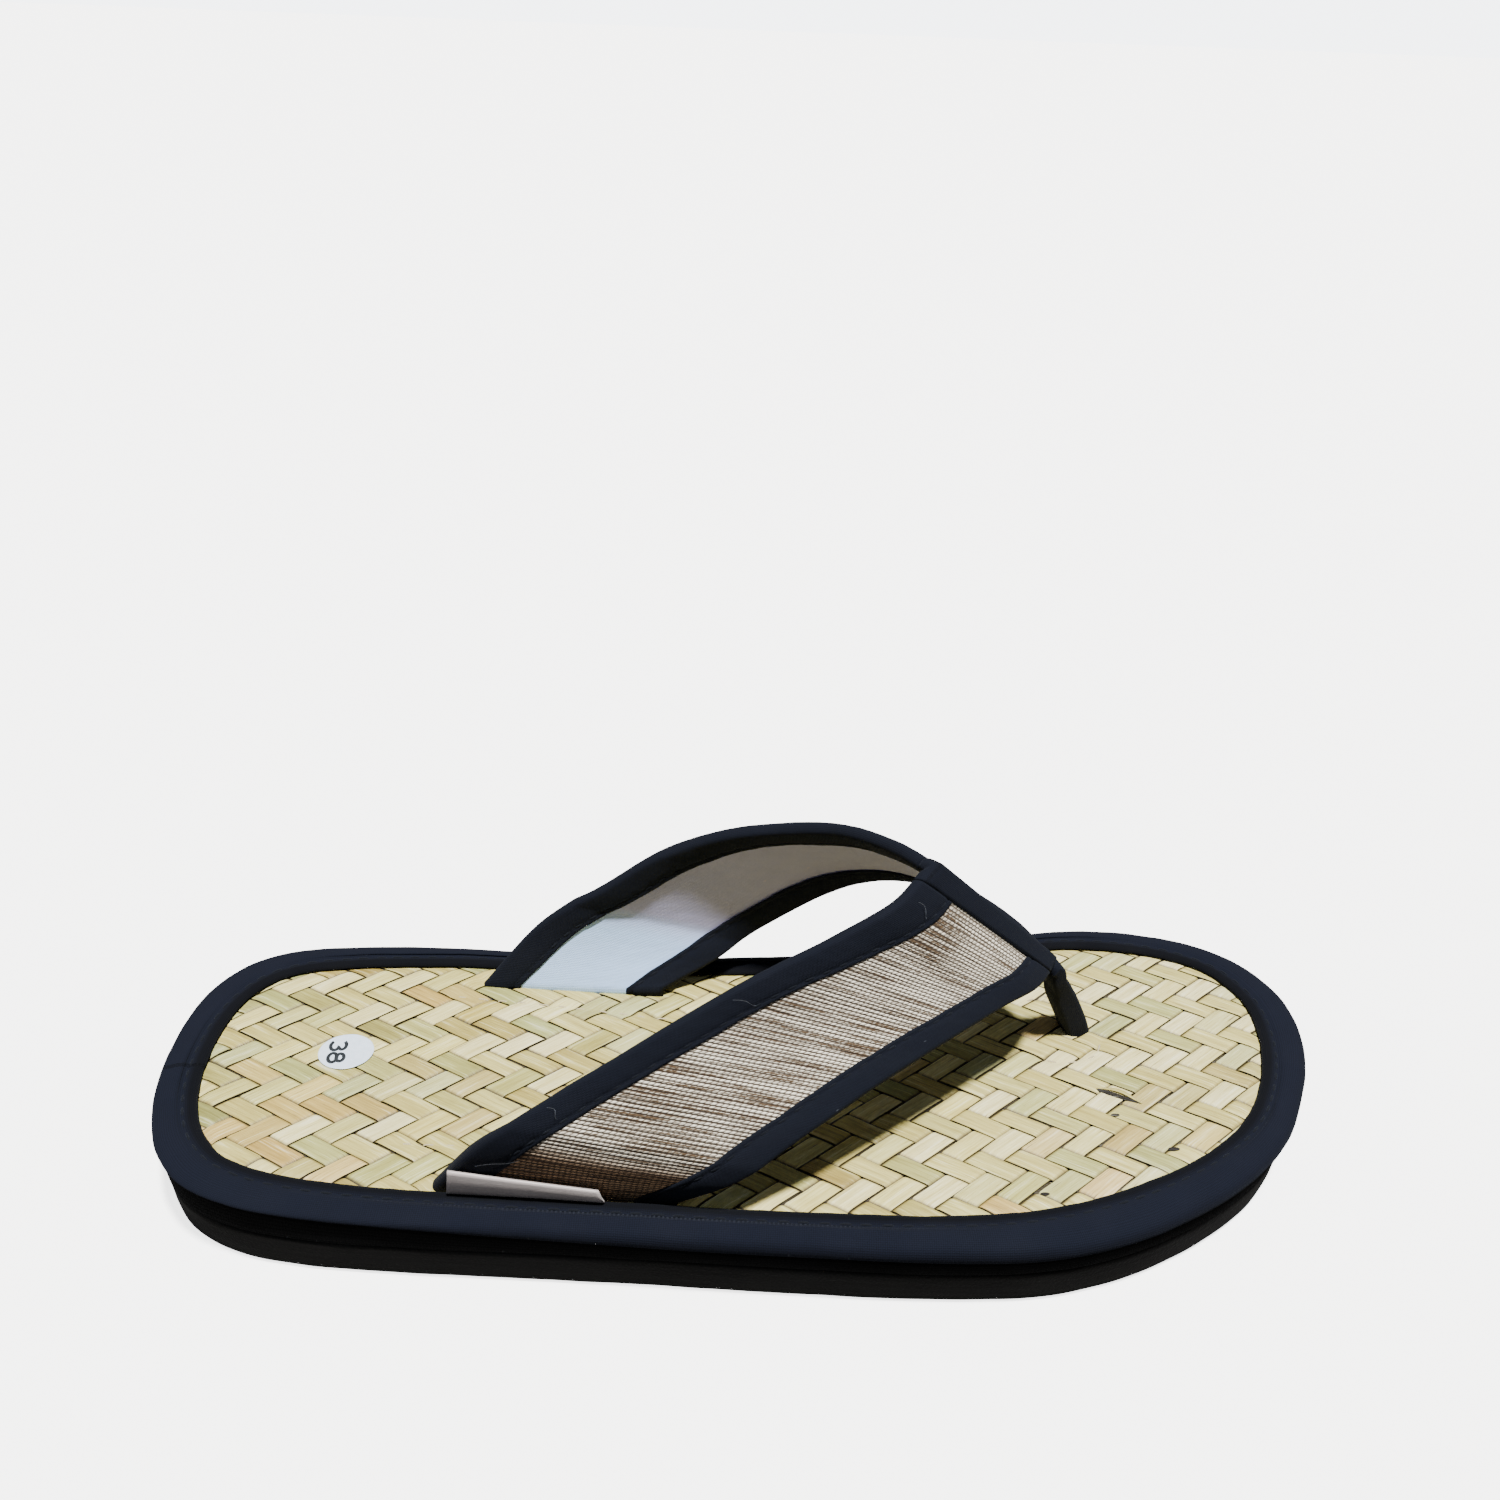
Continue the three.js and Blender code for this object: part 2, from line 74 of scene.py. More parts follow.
# The strap's edges from root to ridge: along (share of LENGTH), across (share of WIDTH),
# height (share of STRAP_RISE).
EDGES = {
    "outer_rear": [
        (0.2344, -0.2803, 0.000), (0.2784, -0.3344, 0.314), (0.3385, -0.3081, 0.494),
        (0.3915, -0.2704, 0.612), (0.4431, -0.2305, 0.717), (0.4928, -0.1896, 0.802),
        (0.5437, -0.1400, 0.861), (0.5956, -0.0761, 0.928), (0.6320, 0.0118, 0.999),
    ],
    "outer_front": [
        (0.4212, -0.3451, 0.000), (0.4640, -0.3882, 0.170), (0.5179, -0.3548, 0.329),
        (0.5689, -0.2880, 0.410), (0.6124, -0.2213, 0.440), (0.6535, -0.1530, 0.451),
        (0.6940, -0.0782, 0.445), (0.7318, -0.0027, 0.419), (0.7589, 0.0909, 0.404),
    ],
    "inner_rear": [
        (0.2605, 0.3642, 0.000), (0.3139, 0.3896, 0.285), (0.3668, 0.3741, 0.475),
        (0.4201, 0.3577, 0.670), (0.4728, 0.3293, 0.796), (0.5240, 0.2906, 0.869),
        (0.5691, 0.2275, 0.933), (0.6064, 0.1259, 0.973), (0.6320, 0.0118, 0.999),
    ],
    "inner_front": [
        (0.4232, 0.3012, 0.000), (0.4701, 0.3477, 0.098), (0.5170, 0.3838, 0.249),
        (0.5648, 0.3839, 0.402), (0.6098, 0.3695, 0.508), (0.6558, 0.3385, 0.546),
        (0.7002, 0.2745, 0.519), (0.7337, 0.1914, 0.472), (0.7589, 0.0909, 0.404),
    ],
}
RIDGE_OUTER_SIDE = 0.05  # share of the outer wing under the ridge's tape
RIDGE_INNER_SIDE = 0.032  # share of the inner wing under it
CREASES = (0.165, 0.19)  # share of each wing where it was once folded flat
CREASE_RISE = 0.8  # mm that the fold stands out

# The toe post: mm from its root along, across and up, and its thickness there.
POST_ROOT = (0.7883, 0.1352)
POST_TURN = math.radians(12)
POST_PATH = [
    (-8.0, -4.1, 18.0, 3.8), (-6.6, -3.1, 15.0, 4.6), (-5.4, -2.3, 12.0, 5.6), (-2.5, -1.0, 6.0, 5.8),
    (-0.9, -0.4, 2.5, 5.8), (0.0, 0.0, 0.0, 5.8), (0.3, 0.0, -2.0, 5.8),
]

STRIP_PITCH = 5.4  # mm from strip to strip
STRIP_LEAN = math.radians(36.5)
STICKER_CENTRE = ((0.1484 - 0.5) * LENGTH, 0.1232 * WIDTH)
STICKER_RADIUS = 6.1


# Curves and meshes.

def smooth_line(points, closed, where):
    """Centripetal Catmull-Rom through points, taken at shares from 0 to 1."""
    p = np.asarray(points, float)
    n = len(p)
    placed = []
    for share in where:
        x = (n if closed else n - 1) * share
        i = int(math.floor(x))
        w = x - i
        if not closed and i >= n - 1:
            i, w = n - 2, 1.0
        i %= n
        before = p[i - 1] if closed or i > 0 else 2 * p[0] - p[1]
        here, there = p[i], p[(i + 1) % n]
        after = p[(i + 2) % n] if closed or i + 2 < n else 2 * p[-1] - p[-2]
        gaps = [max(np.sum((b - a) ** 2) ** 0.25, 1e-4)
                for a, b in ((before, here), (here, there), (there, after))]
        lead = ((here - before) / gaps[0] - (there - before) / (gaps[0] + gaps[1])
                + (there - here) / gaps[1]) * gaps[1]
        leave = ((there - here) / gaps[1] - (after - here) / (gaps[1] + gaps[2])
                 + (after - there) / gaps[2]) * gaps[1]
        placed.append(here + lead * w + (-3 * here + 3 * there - 2 * lead - leave) * w * w
                      + (2 * here - 2 * there + lead + leave) * w ** 3)
    return np.array(placed)


def run_along(points):
    """The length in mm from the first point of a line to each of its points."""
    return np.concatenate([[0], np.cumsum(np.linalg.norm(np.diff(points, axis=0), axis=-1))])


def evenly(points, count, closed=False):
    """Resamples a line of points to even spacing."""
    p = np.asarray(points, float)
    if closed:
        p = np.vstack([p, p[:1]])
    run = run_along(p[:, :3])
    want = np.linspace(0, run[-1], count, endpoint=not closed)
    return np.stack([np.interp(want, run, p[:, k]) for k in range(p.shape[1])], 1)


def smoothstep(x, low, high):
    t = np.clip((np.asarray(x, float) - low) / (high - low), 0, 1)
    return t * t * (3 - 2 * t)


def wave(x, seed, steps=5, longest=90.0):
    """A smooth wandering value of about -1 to 1 along a length in mm."""
    local = np.random.default_rng(seed)
    x = np.asarray(x, float)
    total = np.zeros_like(x)
    for k in range(steps):
        turn = 2 * math.pi * x * (1.7 ** k) / longest + local.uniform(0, 6.28)
        total += np.sin(turn) / 1.35 ** k
    return total / 2.6


def grid_faces(rows, cols, loop_rows=False, loop_cols=False):
    r = np.arange(rows if loop_rows else rows - 1)
    c = np.arange(cols if loop_cols else cols - 1)
    rr, cc = np.meshgrid(r, c, indexing="ij")
    up, right = (rr + 1) % rows, (cc + 1) % cols
    corners = [rr * cols + cc, rr * cols + right, up * cols + right, up * cols + cc]
    return np.stack(corners, -1).reshape(-1, 4)


def put_in_scene(name, data):
    item = bpy.data.objects.new(name, data)
    bpy.context.scene.collection.objects.link(item)
    return item


def make_piece(name, points, faces, material, slot, cloth=None, outward=True, **shades):
    """A mesh from points in mm.

    cloth is each point's place on its cloth in mm, and shades are values per point.
    """
    points = np.asarray(points).reshape(-1, 3) * MM
    mesh = bpy.data.meshes.new(name)
    mesh.from_pydata(points.tolist(), [], [list(map(int, f)) for f in faces])
    if cloth is not None:
        place = mesh.attributes.new("cloth", "FLOAT_VECTOR", "POINT")
        place.data.foreach_set("vector", np.asarray(cloth, np.float32).reshape(-1))
    for label, values in shades.items():
        shade = mesh.attributes.new(label, "FLOAT", "POINT")
        shade.data.foreach_set("value", np.asarray(values, np.float32).reshape(-1))
    if outward:
        work = bmesh.new()
        work.from_mesh(mesh)
        bmesh.ops.recalc_face_normals(work, faces=work.faces)
        work.to_mesh(mesh)
        work.free()
    mesh.polygons.foreach_set("use_smooth", [True] * len(mesh.polygons))
    mesh.materials.append(material)
    mesh.update()
    piece = put_in_scene(name, mesh)
    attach(piece, "root")
    return piece


def loft(rows):
    """Points and faces of closed rings, one after another, with capped ends."""
    rows = np.asarray(rows, float)
    count, around = rows.shape[:2]
    faces = [list(f) for f in grid_faces(count, around, loop_cols=True)]
    faces += [list(range(around))[::-1], [(count - 1) * around + i for i in range(around)]]
    return rows.reshape(-1, 3), faces


def lofted(name, rows, material, slot, cloth=None, **shades):
    """A closed piece through rings of points in mm."""
    points, faces = loft(rows)
    return make_piece(name, points, faces, material, slot, points if cloth is None else cloth, **shades)


def face_up(piece):
    """Turns a flat piece over where it faces the floor."""
    if sum(face.normal.z * face.area for face in piece.data.polygons) < 0:
        piece.data.flip_normals()


def kept_part(faces, keep):
    """The faces whose points are all kept, numbered anew, and the old numbers of their points."""
    faces = faces[keep[faces].all(1)]
    used = np.unique(faces)
    renumber = np.full(len(keep), -1)
    renumber[used] = np.arange(len(used))
    return renumber[faces], used


# The slipper's own lines.

def rim_line():
    """The rim's outline: x, y, band, inward direction and run, evenly spaced."""
    table = [((a - 0.5) * LENGTH, b * WIDTH, band) for a, b, band in OUTLINE]
    dense = smooth_line(table, True, np.arange(0, 1, 1 / 1600))
    line = evenly(np.c_[dense[:, :2], np.zeros(len(dense)), dense[:, 2]], OUTLINE_POINTS, closed=True)
    x, y, band = line[:, 0], line[:, 1], line[:, 3]
    x = (x - (x.min() + x.max()) / 2) * LENGTH / np.ptp(x)
    y = (y - (y.min() + y.max()) / 2) * WIDTH / np.ptp(y)
    forward = np.stack([np.roll(x, -1) - np.roll(x, 1), np.roll(y, -1) - np.roll(y, 1)], 1)
    forward /= np.linalg.norm(forward, axis=1)[:, None]
    step = np.hypot(np.roll(x, -1) - x, np.roll(y, -1) - y)
    run = np.concatenate([[0], np.cumsum(step)[:-1]])
    return {"x": x, "y": y, "band": band, "inward": np.stack([-forward[:, 1], forward[:, 0]], 1),
            "run": run}


RIM = rim_line()


def inset_ring(inset, height):
    """Points at an inset from the rim's outline. Both may be one number or one per point."""
    inset = np.broadcast_to(inset, OUTLINE_POINTS)
    x = RIM["x"] + RIM["inward"][:, 0] * inset
    y = RIM["y"] + RIM["inward"][:, 1] * inset
    return np.stack([x, y, np.broadcast_to(height, OUTLINE_POINTS)], 1)


EDGE_SHARES = np.linspace(0, 1, 241)
EDGE_LINES = {
    name: smooth_line([((a - 0.5) * LENGTH, b * WIDTH, MAT_TOP + c * STRAP_RISE) for a, b, c in rows],
                      False, EDGE_SHARES)
    for name, rows in EDGES.items()
}


def edge_at(name, share):
    line = EDGE_LINES[name]
    return np.stack([np.interp(share, EDGE_SHARES, line[:, k]) for k in range(3)], -1)


def on_wing(side, share, v):
    """A point of a wing: share 0 at root to 1 at ridge, v 0 at the rear edge to 1 at the front edge."""
    wing = ("outer", "inner")[side]
    a, b = edge_at(wing + "_rear", share), edge_at(wing + "_front", share)
    return a + (b - a) * np.asarray(v)[..., None]


def wing_normal(side, share, v):
    step = 0.006
    up = on_wing(side, np.minimum(share + step, 1), v) - on_wing(side, np.maximum(share - step, 0), v)
    over = on_wing(side, share, np.ones_like(v)) - on_wing(side, share, np.zeros_like(v))
    normal = np.cross(over, up) if side == 0 else np.cross(up, over)
    return normal / np.linalg.norm(normal, axis=-1, keepdims=True)


def crease(u):
    """The fold across each wing: 1 at the fold, falling off sharply to both sides."""
    share = np.where(u <= 1, u, 2 - u)
    away = np.abs(share - np.where(u <= 1, CREASES[0], CREASES[1]))
    return np.exp(-np.sqrt(away ** 2 + 0.004 ** 2) / 0.03)


def strap_points(u, s, t):
    """Points of the strap: u 0 to 1 up the outer wing and 1 to 2 down the inner one.

    s is mm in from the rear edge, or from the front edge where it is negative (counted from -0.001).
    t is the depth in mm under the strap's outside. All three are arrays of one shape.
    """
    u, s, t = np.broadcast_arrays(np.asarray(u, float), np.asarray(s, float), np.asarray(t, float))
    t = t - CREASE_RISE * crease(u)
    points = np.zeros(u.shape + (3,))
    for side in (0, 1):
        mine = u <= 1 if side == 0 else u > 1
        if not mine.any():
            continue
        share = u[mine] if side == 0 else 2 - u[mine]
        ones = np.ones_like(share)
        wide = np.linalg.norm(on_wing(side, share, ones) - on_wing(side, share, 0 * ones), axis=-1)
        v = np.where(s[mine] >= 0, s[mine] / wide, 1 + s[mine] / wide)
        normal = wing_normal(side, share, v)
        other = wing_normal(1 - side, ones, v)
        own = wing_normal(side, ones, v)
        middle = own + other
        middle /= np.linalg.norm(middle, axis=-1, keepdims=True)
        middle /= np.sum(middle * own, axis=-1, keepdims=True)
        near = smoothstep(share, 0.97, 1.0)[:, None]
        normal = normal * (1 - near) + middle * near
        points[mine] = on_wing(side, share, v) - normal * t[mine][:, None]
    return points


def strap_width(u):
    u = np.asarray(u, float)
    share = np.where(u <= 1, u, 2 - u)
    outer, inner = (
        np.linalg.norm(edge_at(wing + "_rear", share) - edge_at(wing + "_front", share), axis=-1)
        for wing in ("outer", "inner")
    )
    return np.where(u <= 1, outer, inner)


def strap_runs(u):
    """Length along the strap's middle, in mm, for rising values of u."""
    return run_along(strap_points(u, strap_width(u) / 2, 0 * u))


# Shader groups.

def link(tree, source, target):
    tree.links.new(source, target)


def new_group(name, inputs, outputs):
    """A shader group with named sockets. inputs and outputs are (name, kind, value) rows."""
    group = bpy.data.node_groups.new(name, "ShaderNodeTree")
    for label, kind, value in inputs:
        socket = group.interface.new_socket(label, in_out="INPUT", socket_type="NodeSocket" + kind)
        if value is not None:
            socket.default_value = value
    for label, kind in outputs:
        group.interface.new_socket(label, in_out="OUTPUT", socket_type="NodeSocket" + kind)
    return group, group.nodes.new("NodeGroupInput"), group.nodes.new("NodeGroupOutput")


def set_values(node, **values):
    """Sets a node's inputs; an underscore in a name stands for a space."""
    for label, value in values.items():
        node.inputs[label.replace("_", " ")].default_value = value


def feed(tree, socket, value):
    """Gives a socket a number, a colour in display values or another socket's output."""
    if isinstance(value, (int, float)):
        socket.default_value = value
    elif isinstance(value, tuple):
        socket.default_value = srgb(*value) if len(value) == 3 else value
    else:
        link(tree, value, socket)


def maths(tree, operation, *values):
    node = tree.nodes.new("ShaderNodeMath")
    node.operation = operation
    for socket, value in zip(node.inputs, values):
        feed(tree, socket, value)
    return node.outputs[0]


def times(tree, a, b):
    return maths(tree, "MULTIPLY", a, b)


def plus(tree, *values):
    total = values[0]
    for value in values[1:]:
        total = maths(tree, "ADD", total, value)
    return total


def ripple(tree, turns):
    """Rounded threads side by side: 0 between two and 1 on top of each, one thread a turn."""
    return maths(tree, "ABSOLUTE", maths(tree, "SINE", times(tree, turns, math.pi)))


def attribute(tree, name, output="Fac"):
    node = tree.nodes.new("ShaderNodeAttribute")
    node.attribute_name = name
    return node.outputs[output]


def split_place(tree, place):
    """The place along a cloth and the place across it, in mm."""
    parts = tree.nodes.new("ShaderNodeSeparateXYZ")
    link(tree, place, parts.inputs[0])
    return parts.outputs["X"], parts.outputs["Y"]


def noise(tree, vector, scale=1.0, detail=3.0, rough=0.5, stretch=None):
    """Noise over a place in mm; stretch gives its fineness along each axis."""
    if stretch:
        vector = stretched(tree, vector, stretch)
    node = tree.nodes.new("ShaderNodeTexNoise")
    set_values(node, Scale=scale, Detail=detail, Roughness=rough)
    link(tree, vector, node.inputs["Vector"])
    return node.outputs["Fac"]


def stretched(tree, vector, factors):
    node = tree.nodes.new("ShaderNodeVectorMath")
    node.operation = "MULTIPLY"
    node.inputs[1].default_value = factors
    link(tree, vector, node.inputs[0])
    return node.outputs[0]


def ramp(tree, value, low, high, out_low=0.0, out_high=1.0):
    node = tree.nodes.new("ShaderNodeMapRange")
    set_values(node, From_Min=low, From_Max=high, To_Min=out_low, To_Max=out_high)
    link(tree, value, node.inputs["Value"])
    return node.outputs["Result"]


def blend(tree, factor, a, b, how="MIX"):
    """Mixes two colours; each may be a colour in display values or a socket."""
    node = tree.nodes.new("ShaderNodeMix")
    node.data_type = "RGBA"
    node.blend_type = how
    for socket, value in ((node.inputs["Factor"], factor), (node.inputs[6], a), (node.inputs[7], b)):
        feed(tree, socket, value)
    return node.outputs[2]


def srgb(red, green, blue):
    """A colour given in display values, 0 to 255."""
    def linear(v):
        v /= 255
        return v / 12.92 if v <= 0.04045 else ((v + 0.055) / 1.055) ** 2.4
    return (linear(red), linear(green), linear(blue), 1.0)


def plain_weave_group():
    """A plain cloth weave. Place is in mm; Count is threads per mm. Gives a height and a shade."""
    group, given, out = new_group(
        "plain_weave",
        [("Place", "Vector", None), ("Count", "Float", 1.6), ("Unevenness", "Float", 0.35)],
        [("Height", "Float"), ("Shade", "Float")],
    )
    place = given.outputs["Place"]
    wander = noise(group, place, 1.0, 2.0, stretch=(0.35, 0.35, 0.35))
    shift = times(group, wander, given.outputs["Unevenness"])
    waves = []
    for axis in split_place(group, place):
        turns = plus(group, times(group, axis, given.outputs["Count"]), shift)
        waves.append(maths(group, "SINE", times(group, turns, math.pi)))
    across, along = (maths(group, "ABSOLUTE", thread_wave) for thread_wave in waves)
    over = ramp(group, times(group, *waves), -0.3, 0.3)
    under = maths(group, "SUBTRACT", 1.0, over)
    height = plus(group, times(group, across, over), times(group, along, under))
    link(group, height, out.inputs["Height"])
    fuzz = noise(group, place, 2.2, 4.0, 0.7)
    link(group, plus(group, times(group, height, 0.5), times(group, fuzz, 0.5)), out.inputs["Shade"])
    return group


def fibre_group():
    """Long fibres that run along X of Place, in mm. Gives a fine height, a shade and a split."""
    group, given, out = new_group(
        "long_fibres",
        [("Place", "Vector", None), ("Fineness", "Float", 2.6)],
        [("Height", "Float"), ("Shade", "Float"), ("Split", "Float")],
    )
    sized = group.nodes.new("ShaderNodeVectorMath")
    sized.operation = "SCALE"
    link(group, given.outputs["Place"], sized.inputs[0])
    link(group, given.outputs["Fineness"], sized.inputs["Scale"])
    fine = noise(group, sized.outputs[0], 1.0, 3.0, 0.62, (0.045, 1.0, 7.0))
    broad = noise(group, sized.outputs[0], 1.0, 2.0, 0.5, (0.02, 0.28, 3.0))
    link(group, fine, out.inputs["Height"])
    link(group, plus(group, times(group, fine, 0.55), times(group, broad, 0.45)), out.inputs["Shade"])
    link(group, ramp(group, fine, 0.33, 0.26), out.inputs["Split"])
    return group


def wear_group():
    """Soft rubbed patches, and bits of lint. Place is in mm."""
    group, given, out = new_group(
        "dust_and_rub",
        [("Place", "Vector", None), ("Amount", "Float", 0.5)],
        [("Mask", "Float"), ("Lint", "Float")],
    )
    place, amount = given.outputs["Place"], given.outputs["Amount"]
    patches = ramp(group, noise(group, place, 0.06, 4.0, 0.6), 0.4, 0.75)
    link(group, times(group, patches, amount), out.inputs["Mask"])
    specks = group.nodes.new("ShaderNodeTexVoronoi")
    set_values(specks, Scale=0.45)
    link(group, stretched(group, place, (0.4, 1.0, 1.0)), specks.inputs["Vector"])
    chosen = group.nodes.new("ShaderNodeSeparateColor")
    link(group, specks.outputs["Color"], chosen.inputs[0])
    few = maths(group, "GREATER_THAN", chosen.outputs[0], 0.93)
    lint = times(group, ramp(group, specks.outputs["Distance"], 0.09, 0.04), few)
    link(group, times(group, lint, amount), out.inputs["Lint"])
    return group


WEAVE = plain_weave_group()
FIBRES = fibre_group()
WEAR = wear_group()


def place_group(tree, group, place, **values):
    node = tree.nodes.new("ShaderNodeGroup")
    node.node_tree = group
    link(tree, place, node.inputs["Place"])
    set_values(node, **values)
    return node


def start_material(name, roughness, sheen=0.0, sheen_tint=None, specular=0.5):
    """A material with a Principled shader. Gives the tree, the shader and the cloth's own place in mm."""
    material = bpy.data.materials.new(name)
    material.use_nodes = True
    tree = material.node_tree
    shader = tree.nodes["Principled BSDF"]
    set_values(shader, Roughness=roughness, Specular_IOR_Level=specular, Sheen_Weight=sheen)
    set_values(shader, Sheen_Roughness=0.45)
    if sheen_tint:
        set_values(shader, Sheen_Tint=sheen_tint)
    return material, tree, shader, attribute(tree, "cloth", "Vector")


def bump(tree, shader, height, distance, strength=1.0, under=None):
    """Relief of a distance in mm, laid over the relief of under where that is given."""
    node = tree.nodes.new("ShaderNodeBump")
    set_values(node, Distance=distance * MM, Strength=strength)
    link(tree, height, node.inputs["Height"])
    if under is not None:
        link(tree, under, node.inputs["Normal"])
    link(tree, node.outputs["Normal"], shader.inputs["Normal"])
    return node.outputs["Normal"]


def cloth_material(name, dark, light, lint, count, relief, sheen):
    """Closely woven cotton, with a weave, soft patches and a few bits of lint."""
    material, tree, shader, place = start_material(name, 0.92, sheen, (0.6, 0.7, 1.0, 1.0), 0.14)
    weave = place_group(tree, WEAVE, place, Count=count)
    wear = place_group(tree, WEAR, place, Amount=0.8)
    broad = noise(tree, place, 0.11, 3.0)
    colour = blend(tree, ramp(tree, weave.outputs["Shade"], 0.25, 0.75), dark, light)
    colour = blend(tree, ramp(tree, broad, 0.3, 0.7, 0.0, 0.35), colour, light)
    colour = blend(tree, wear.outputs["Lint"], colour, lint)
    link(tree, colour, shader.inputs["Base Color"])
    link(tree, ramp(tree, wear.outputs["Mask"], 0, 1, 0.95, 0.82), shader.inputs["Roughness"])
    fine = bump(tree, shader, broad, 0.35)
    bump(tree, shader, weave.outputs["Height"], relief, under=fine)
    return material


def paint_shade_on_cloth(material, way, start, end, tint):
    """Paints shade on a cloth: multiplies its colour by a tint that fades out from start to end, in mm along
    it (0) or across it (1).
    """
    tree = material.node_tree
    base = tree.nodes["Principled BSDF"].inputs["Base Color"]
    place = split_place(tree, attribute(tree, "cloth", "Vector"))[way]
    share = ramp(tree, place, start, end, 1.0, 0.0)
    link(tree, blend(tree, share, base.links[0].from_socket, tint, "MULTIPLY"), base)


def foam_material():
    """Closed-cell foam, cut at the sides: nearly black with a brown cast."""
    material, tree, shader, place = start_material("black_foam", 0.7, specular=0.3)
    cells = tree.nodes.new("ShaderNodeTexVoronoi")
    set_values(cells, Scale=1.6)
    link(tree, place, cells.inputs["Vector"])
    wear = place_group(tree, WEAR, place, Amount=0.6)
    streaks = noise(tree, place, stretch=(0.05, 1.2, 1.0))
    colour = blend(tree, ramp(tree, streaks, 0.3, 0.75), (6, 5, 4), (12, 10, 9))
    colour = blend(tree, wear.outputs["Mask"], colour, (17, 14, 12))
    link(tree, colour, shader.inputs["Base Color"])
    link(tree, ramp(tree, streaks, 0.2, 0.8, 0.62, 0.8), shader.inputs["Roughness"])
    low = bump(tree, shader, streaks, 0.12)
    bump(tree, shader, cells.outputs["Distance"], 0.14, 0.8, low)
    return material


def straw_material(name, pale, middle, dark):
    """Split straw: long fibres, and a tone that changes from float to float and along each strip. Painted
    shade darkens it where a strip dips under the others and along its edges.
    """
    material, tree, shader, place = start_material(name, 0.5, specular=0.45)
    fibres = place_group(tree, FIBRES, place)
    shade = fibres.outputs["Shade"]
    wander = noise(tree, place, 1.0, 2.0, stretch=(0.045, 0.12, 9.0))
    value = plus(tree, attribute(tree, "tone"), ramp(tree, wander, 0.3, 0.7, -0.12, 0.12))
    colour = blend(tree, ramp(tree, value, 0.1, 0.7), pale, middle)
    colour = blend(tree, ramp(tree, value, 0.72, 1.0), colour, dark)
    for label, start, most, tint in STRAW_TINTS:
        colour = blend(tree, ramp(tree, attribute(tree, label), start, 1.0, 0.0, most), colour, tint)
    colour = blend(tree, ramp(tree, shade, 0.60, 0.36, 0.0, 0.55), colour, dark, "MULTIPLY")
    colour = blend(tree, ramp(tree, shade, 0.56, 0.7, 0.0, 0.4), colour, (244, 242, 224))
    colour = blend(tree, fibres.outputs["Split"], colour, (120, 104, 74))
    # Painted shade: where the shown value falls, at float ends and strip edges, the colour goes to dark
    # brown and near black, as the shade in the gaps of the weave.
    shown = attribute(tree, "shown")
    colour = blend(tree, ramp(tree, shown, 0.95, 0.45, 0.0, 0.75), colour, (104, 86, 48))
    colour = blend(tree, ramp(tree, shown, 0.62, 0.3, 0.0, 0.9), colour, (34, 27, 15))
    link(tree, colour, shader.inputs["Base Color"])
    link(tree, ramp(tree, shade, 0.3, 0.7, 0.58, 0.42), shader.inputs["Roughness"])
    bump(tree, shader, fibres.outputs["Height"], 0.28)
    return material


def tweed_material():
    """The strap's face: thick uneven pale yarns from edge to edge over finer brown ones, with painted shade
    at the outer wing's foot.
    """
    material, tree, shader, place = start_material("tweed_face", 0.9, 0.12, (1.0, 0.9, 0.8, 1.0), 0.2)
    along, across = split_place(tree, place)
    drift = noise(tree, place, 1.0, 2.0, stretch=(0.25, 0.03, 1.0))
    turns = plus(tree, times(tree, along, YARN_COUNT), times(tree, drift, 0.5))
    yarn = ripple(tree, turns)
    odd = times(tree, maths(tree, "FLOOR", turns), 0.5)
    warp = ripple(tree, plus(tree, times(tree, across, WARP_COUNT), odd))
    slub = noise(tree, place, 1.0, 2.0, 0.6, (1.35, 0.045, 1.0))
    speck = noise(tree, place, 1.0, 3.0, 0.7, (1.1, 0.9, 1.0))
    broad = noise(tree, place, 1.0, 2.0, stretch=(0.06, 0.03, 1.0))
    pale = plus(tree, times(tree, slub, 0.75), times(tree, speck, 0.4), times(tree, broad, 0.25))
    colour = blend(tree, ramp(tree, pale, 0.60, 0.76), (86, 69, 50), (244, 236, 218))
    colour = blend(tree, ramp(tree, yarn, 0.80, 0.30, 0.0, 0.97), colour, (40, 30, 22))
    dots = times(tree, ramp(tree, warp, 0.72, 0.25), ramp(tree, speck, 0.35, 0.6, 0.6, 1.0))
    colour = blend(tree, times(tree, dots, 0.9), colour, (62, 47, 34))
    # Painted shade: within about 15 to 21 mm of the outer wing's foot the cloth is multiplied to a darker
    # brown, as the shade under the wing's outward lean.
    colour = blend(tree, ramp(tree, along, 21.0, 15.0), colour, (198, 164, 134), "MULTIPLY")
    link(tree, colour, shader.inputs["Base Color"])
    height = plus(tree, times(tree, yarn, 0.6), times(tree, warp, 0.25), times(tree, speck, 0.35))
    bump(tree, shader, height, 0.3)
    return material


def paper_material():
    """Coated paper, faintly uneven."""
    material, tree, shader, place = start_material("sticker_paper", 0.42, specular=0.5)
    fibres = noise(tree, place, 0.9, 4.0, 0.6)
    colour = blend(tree, ramp(tree, fibres, 0.3, 0.7), (206, 222, 240), (222, 234, 250))
    link(tree, colour, shader.inputs["Base Color"])
    bump(tree, shader, fibres, 0.02, 1.0)
    return material


def ink_material():
    material, tree, shader, place = start_material("number_ink", 0.55)
    patches = ramp(tree, noise(tree, place, 1.5), 0.3, 0.7)
    link(tree, blend(tree, patches, (20, 24, 28), (36, 41, 46)), shader.inputs["Base Color"])
    return material


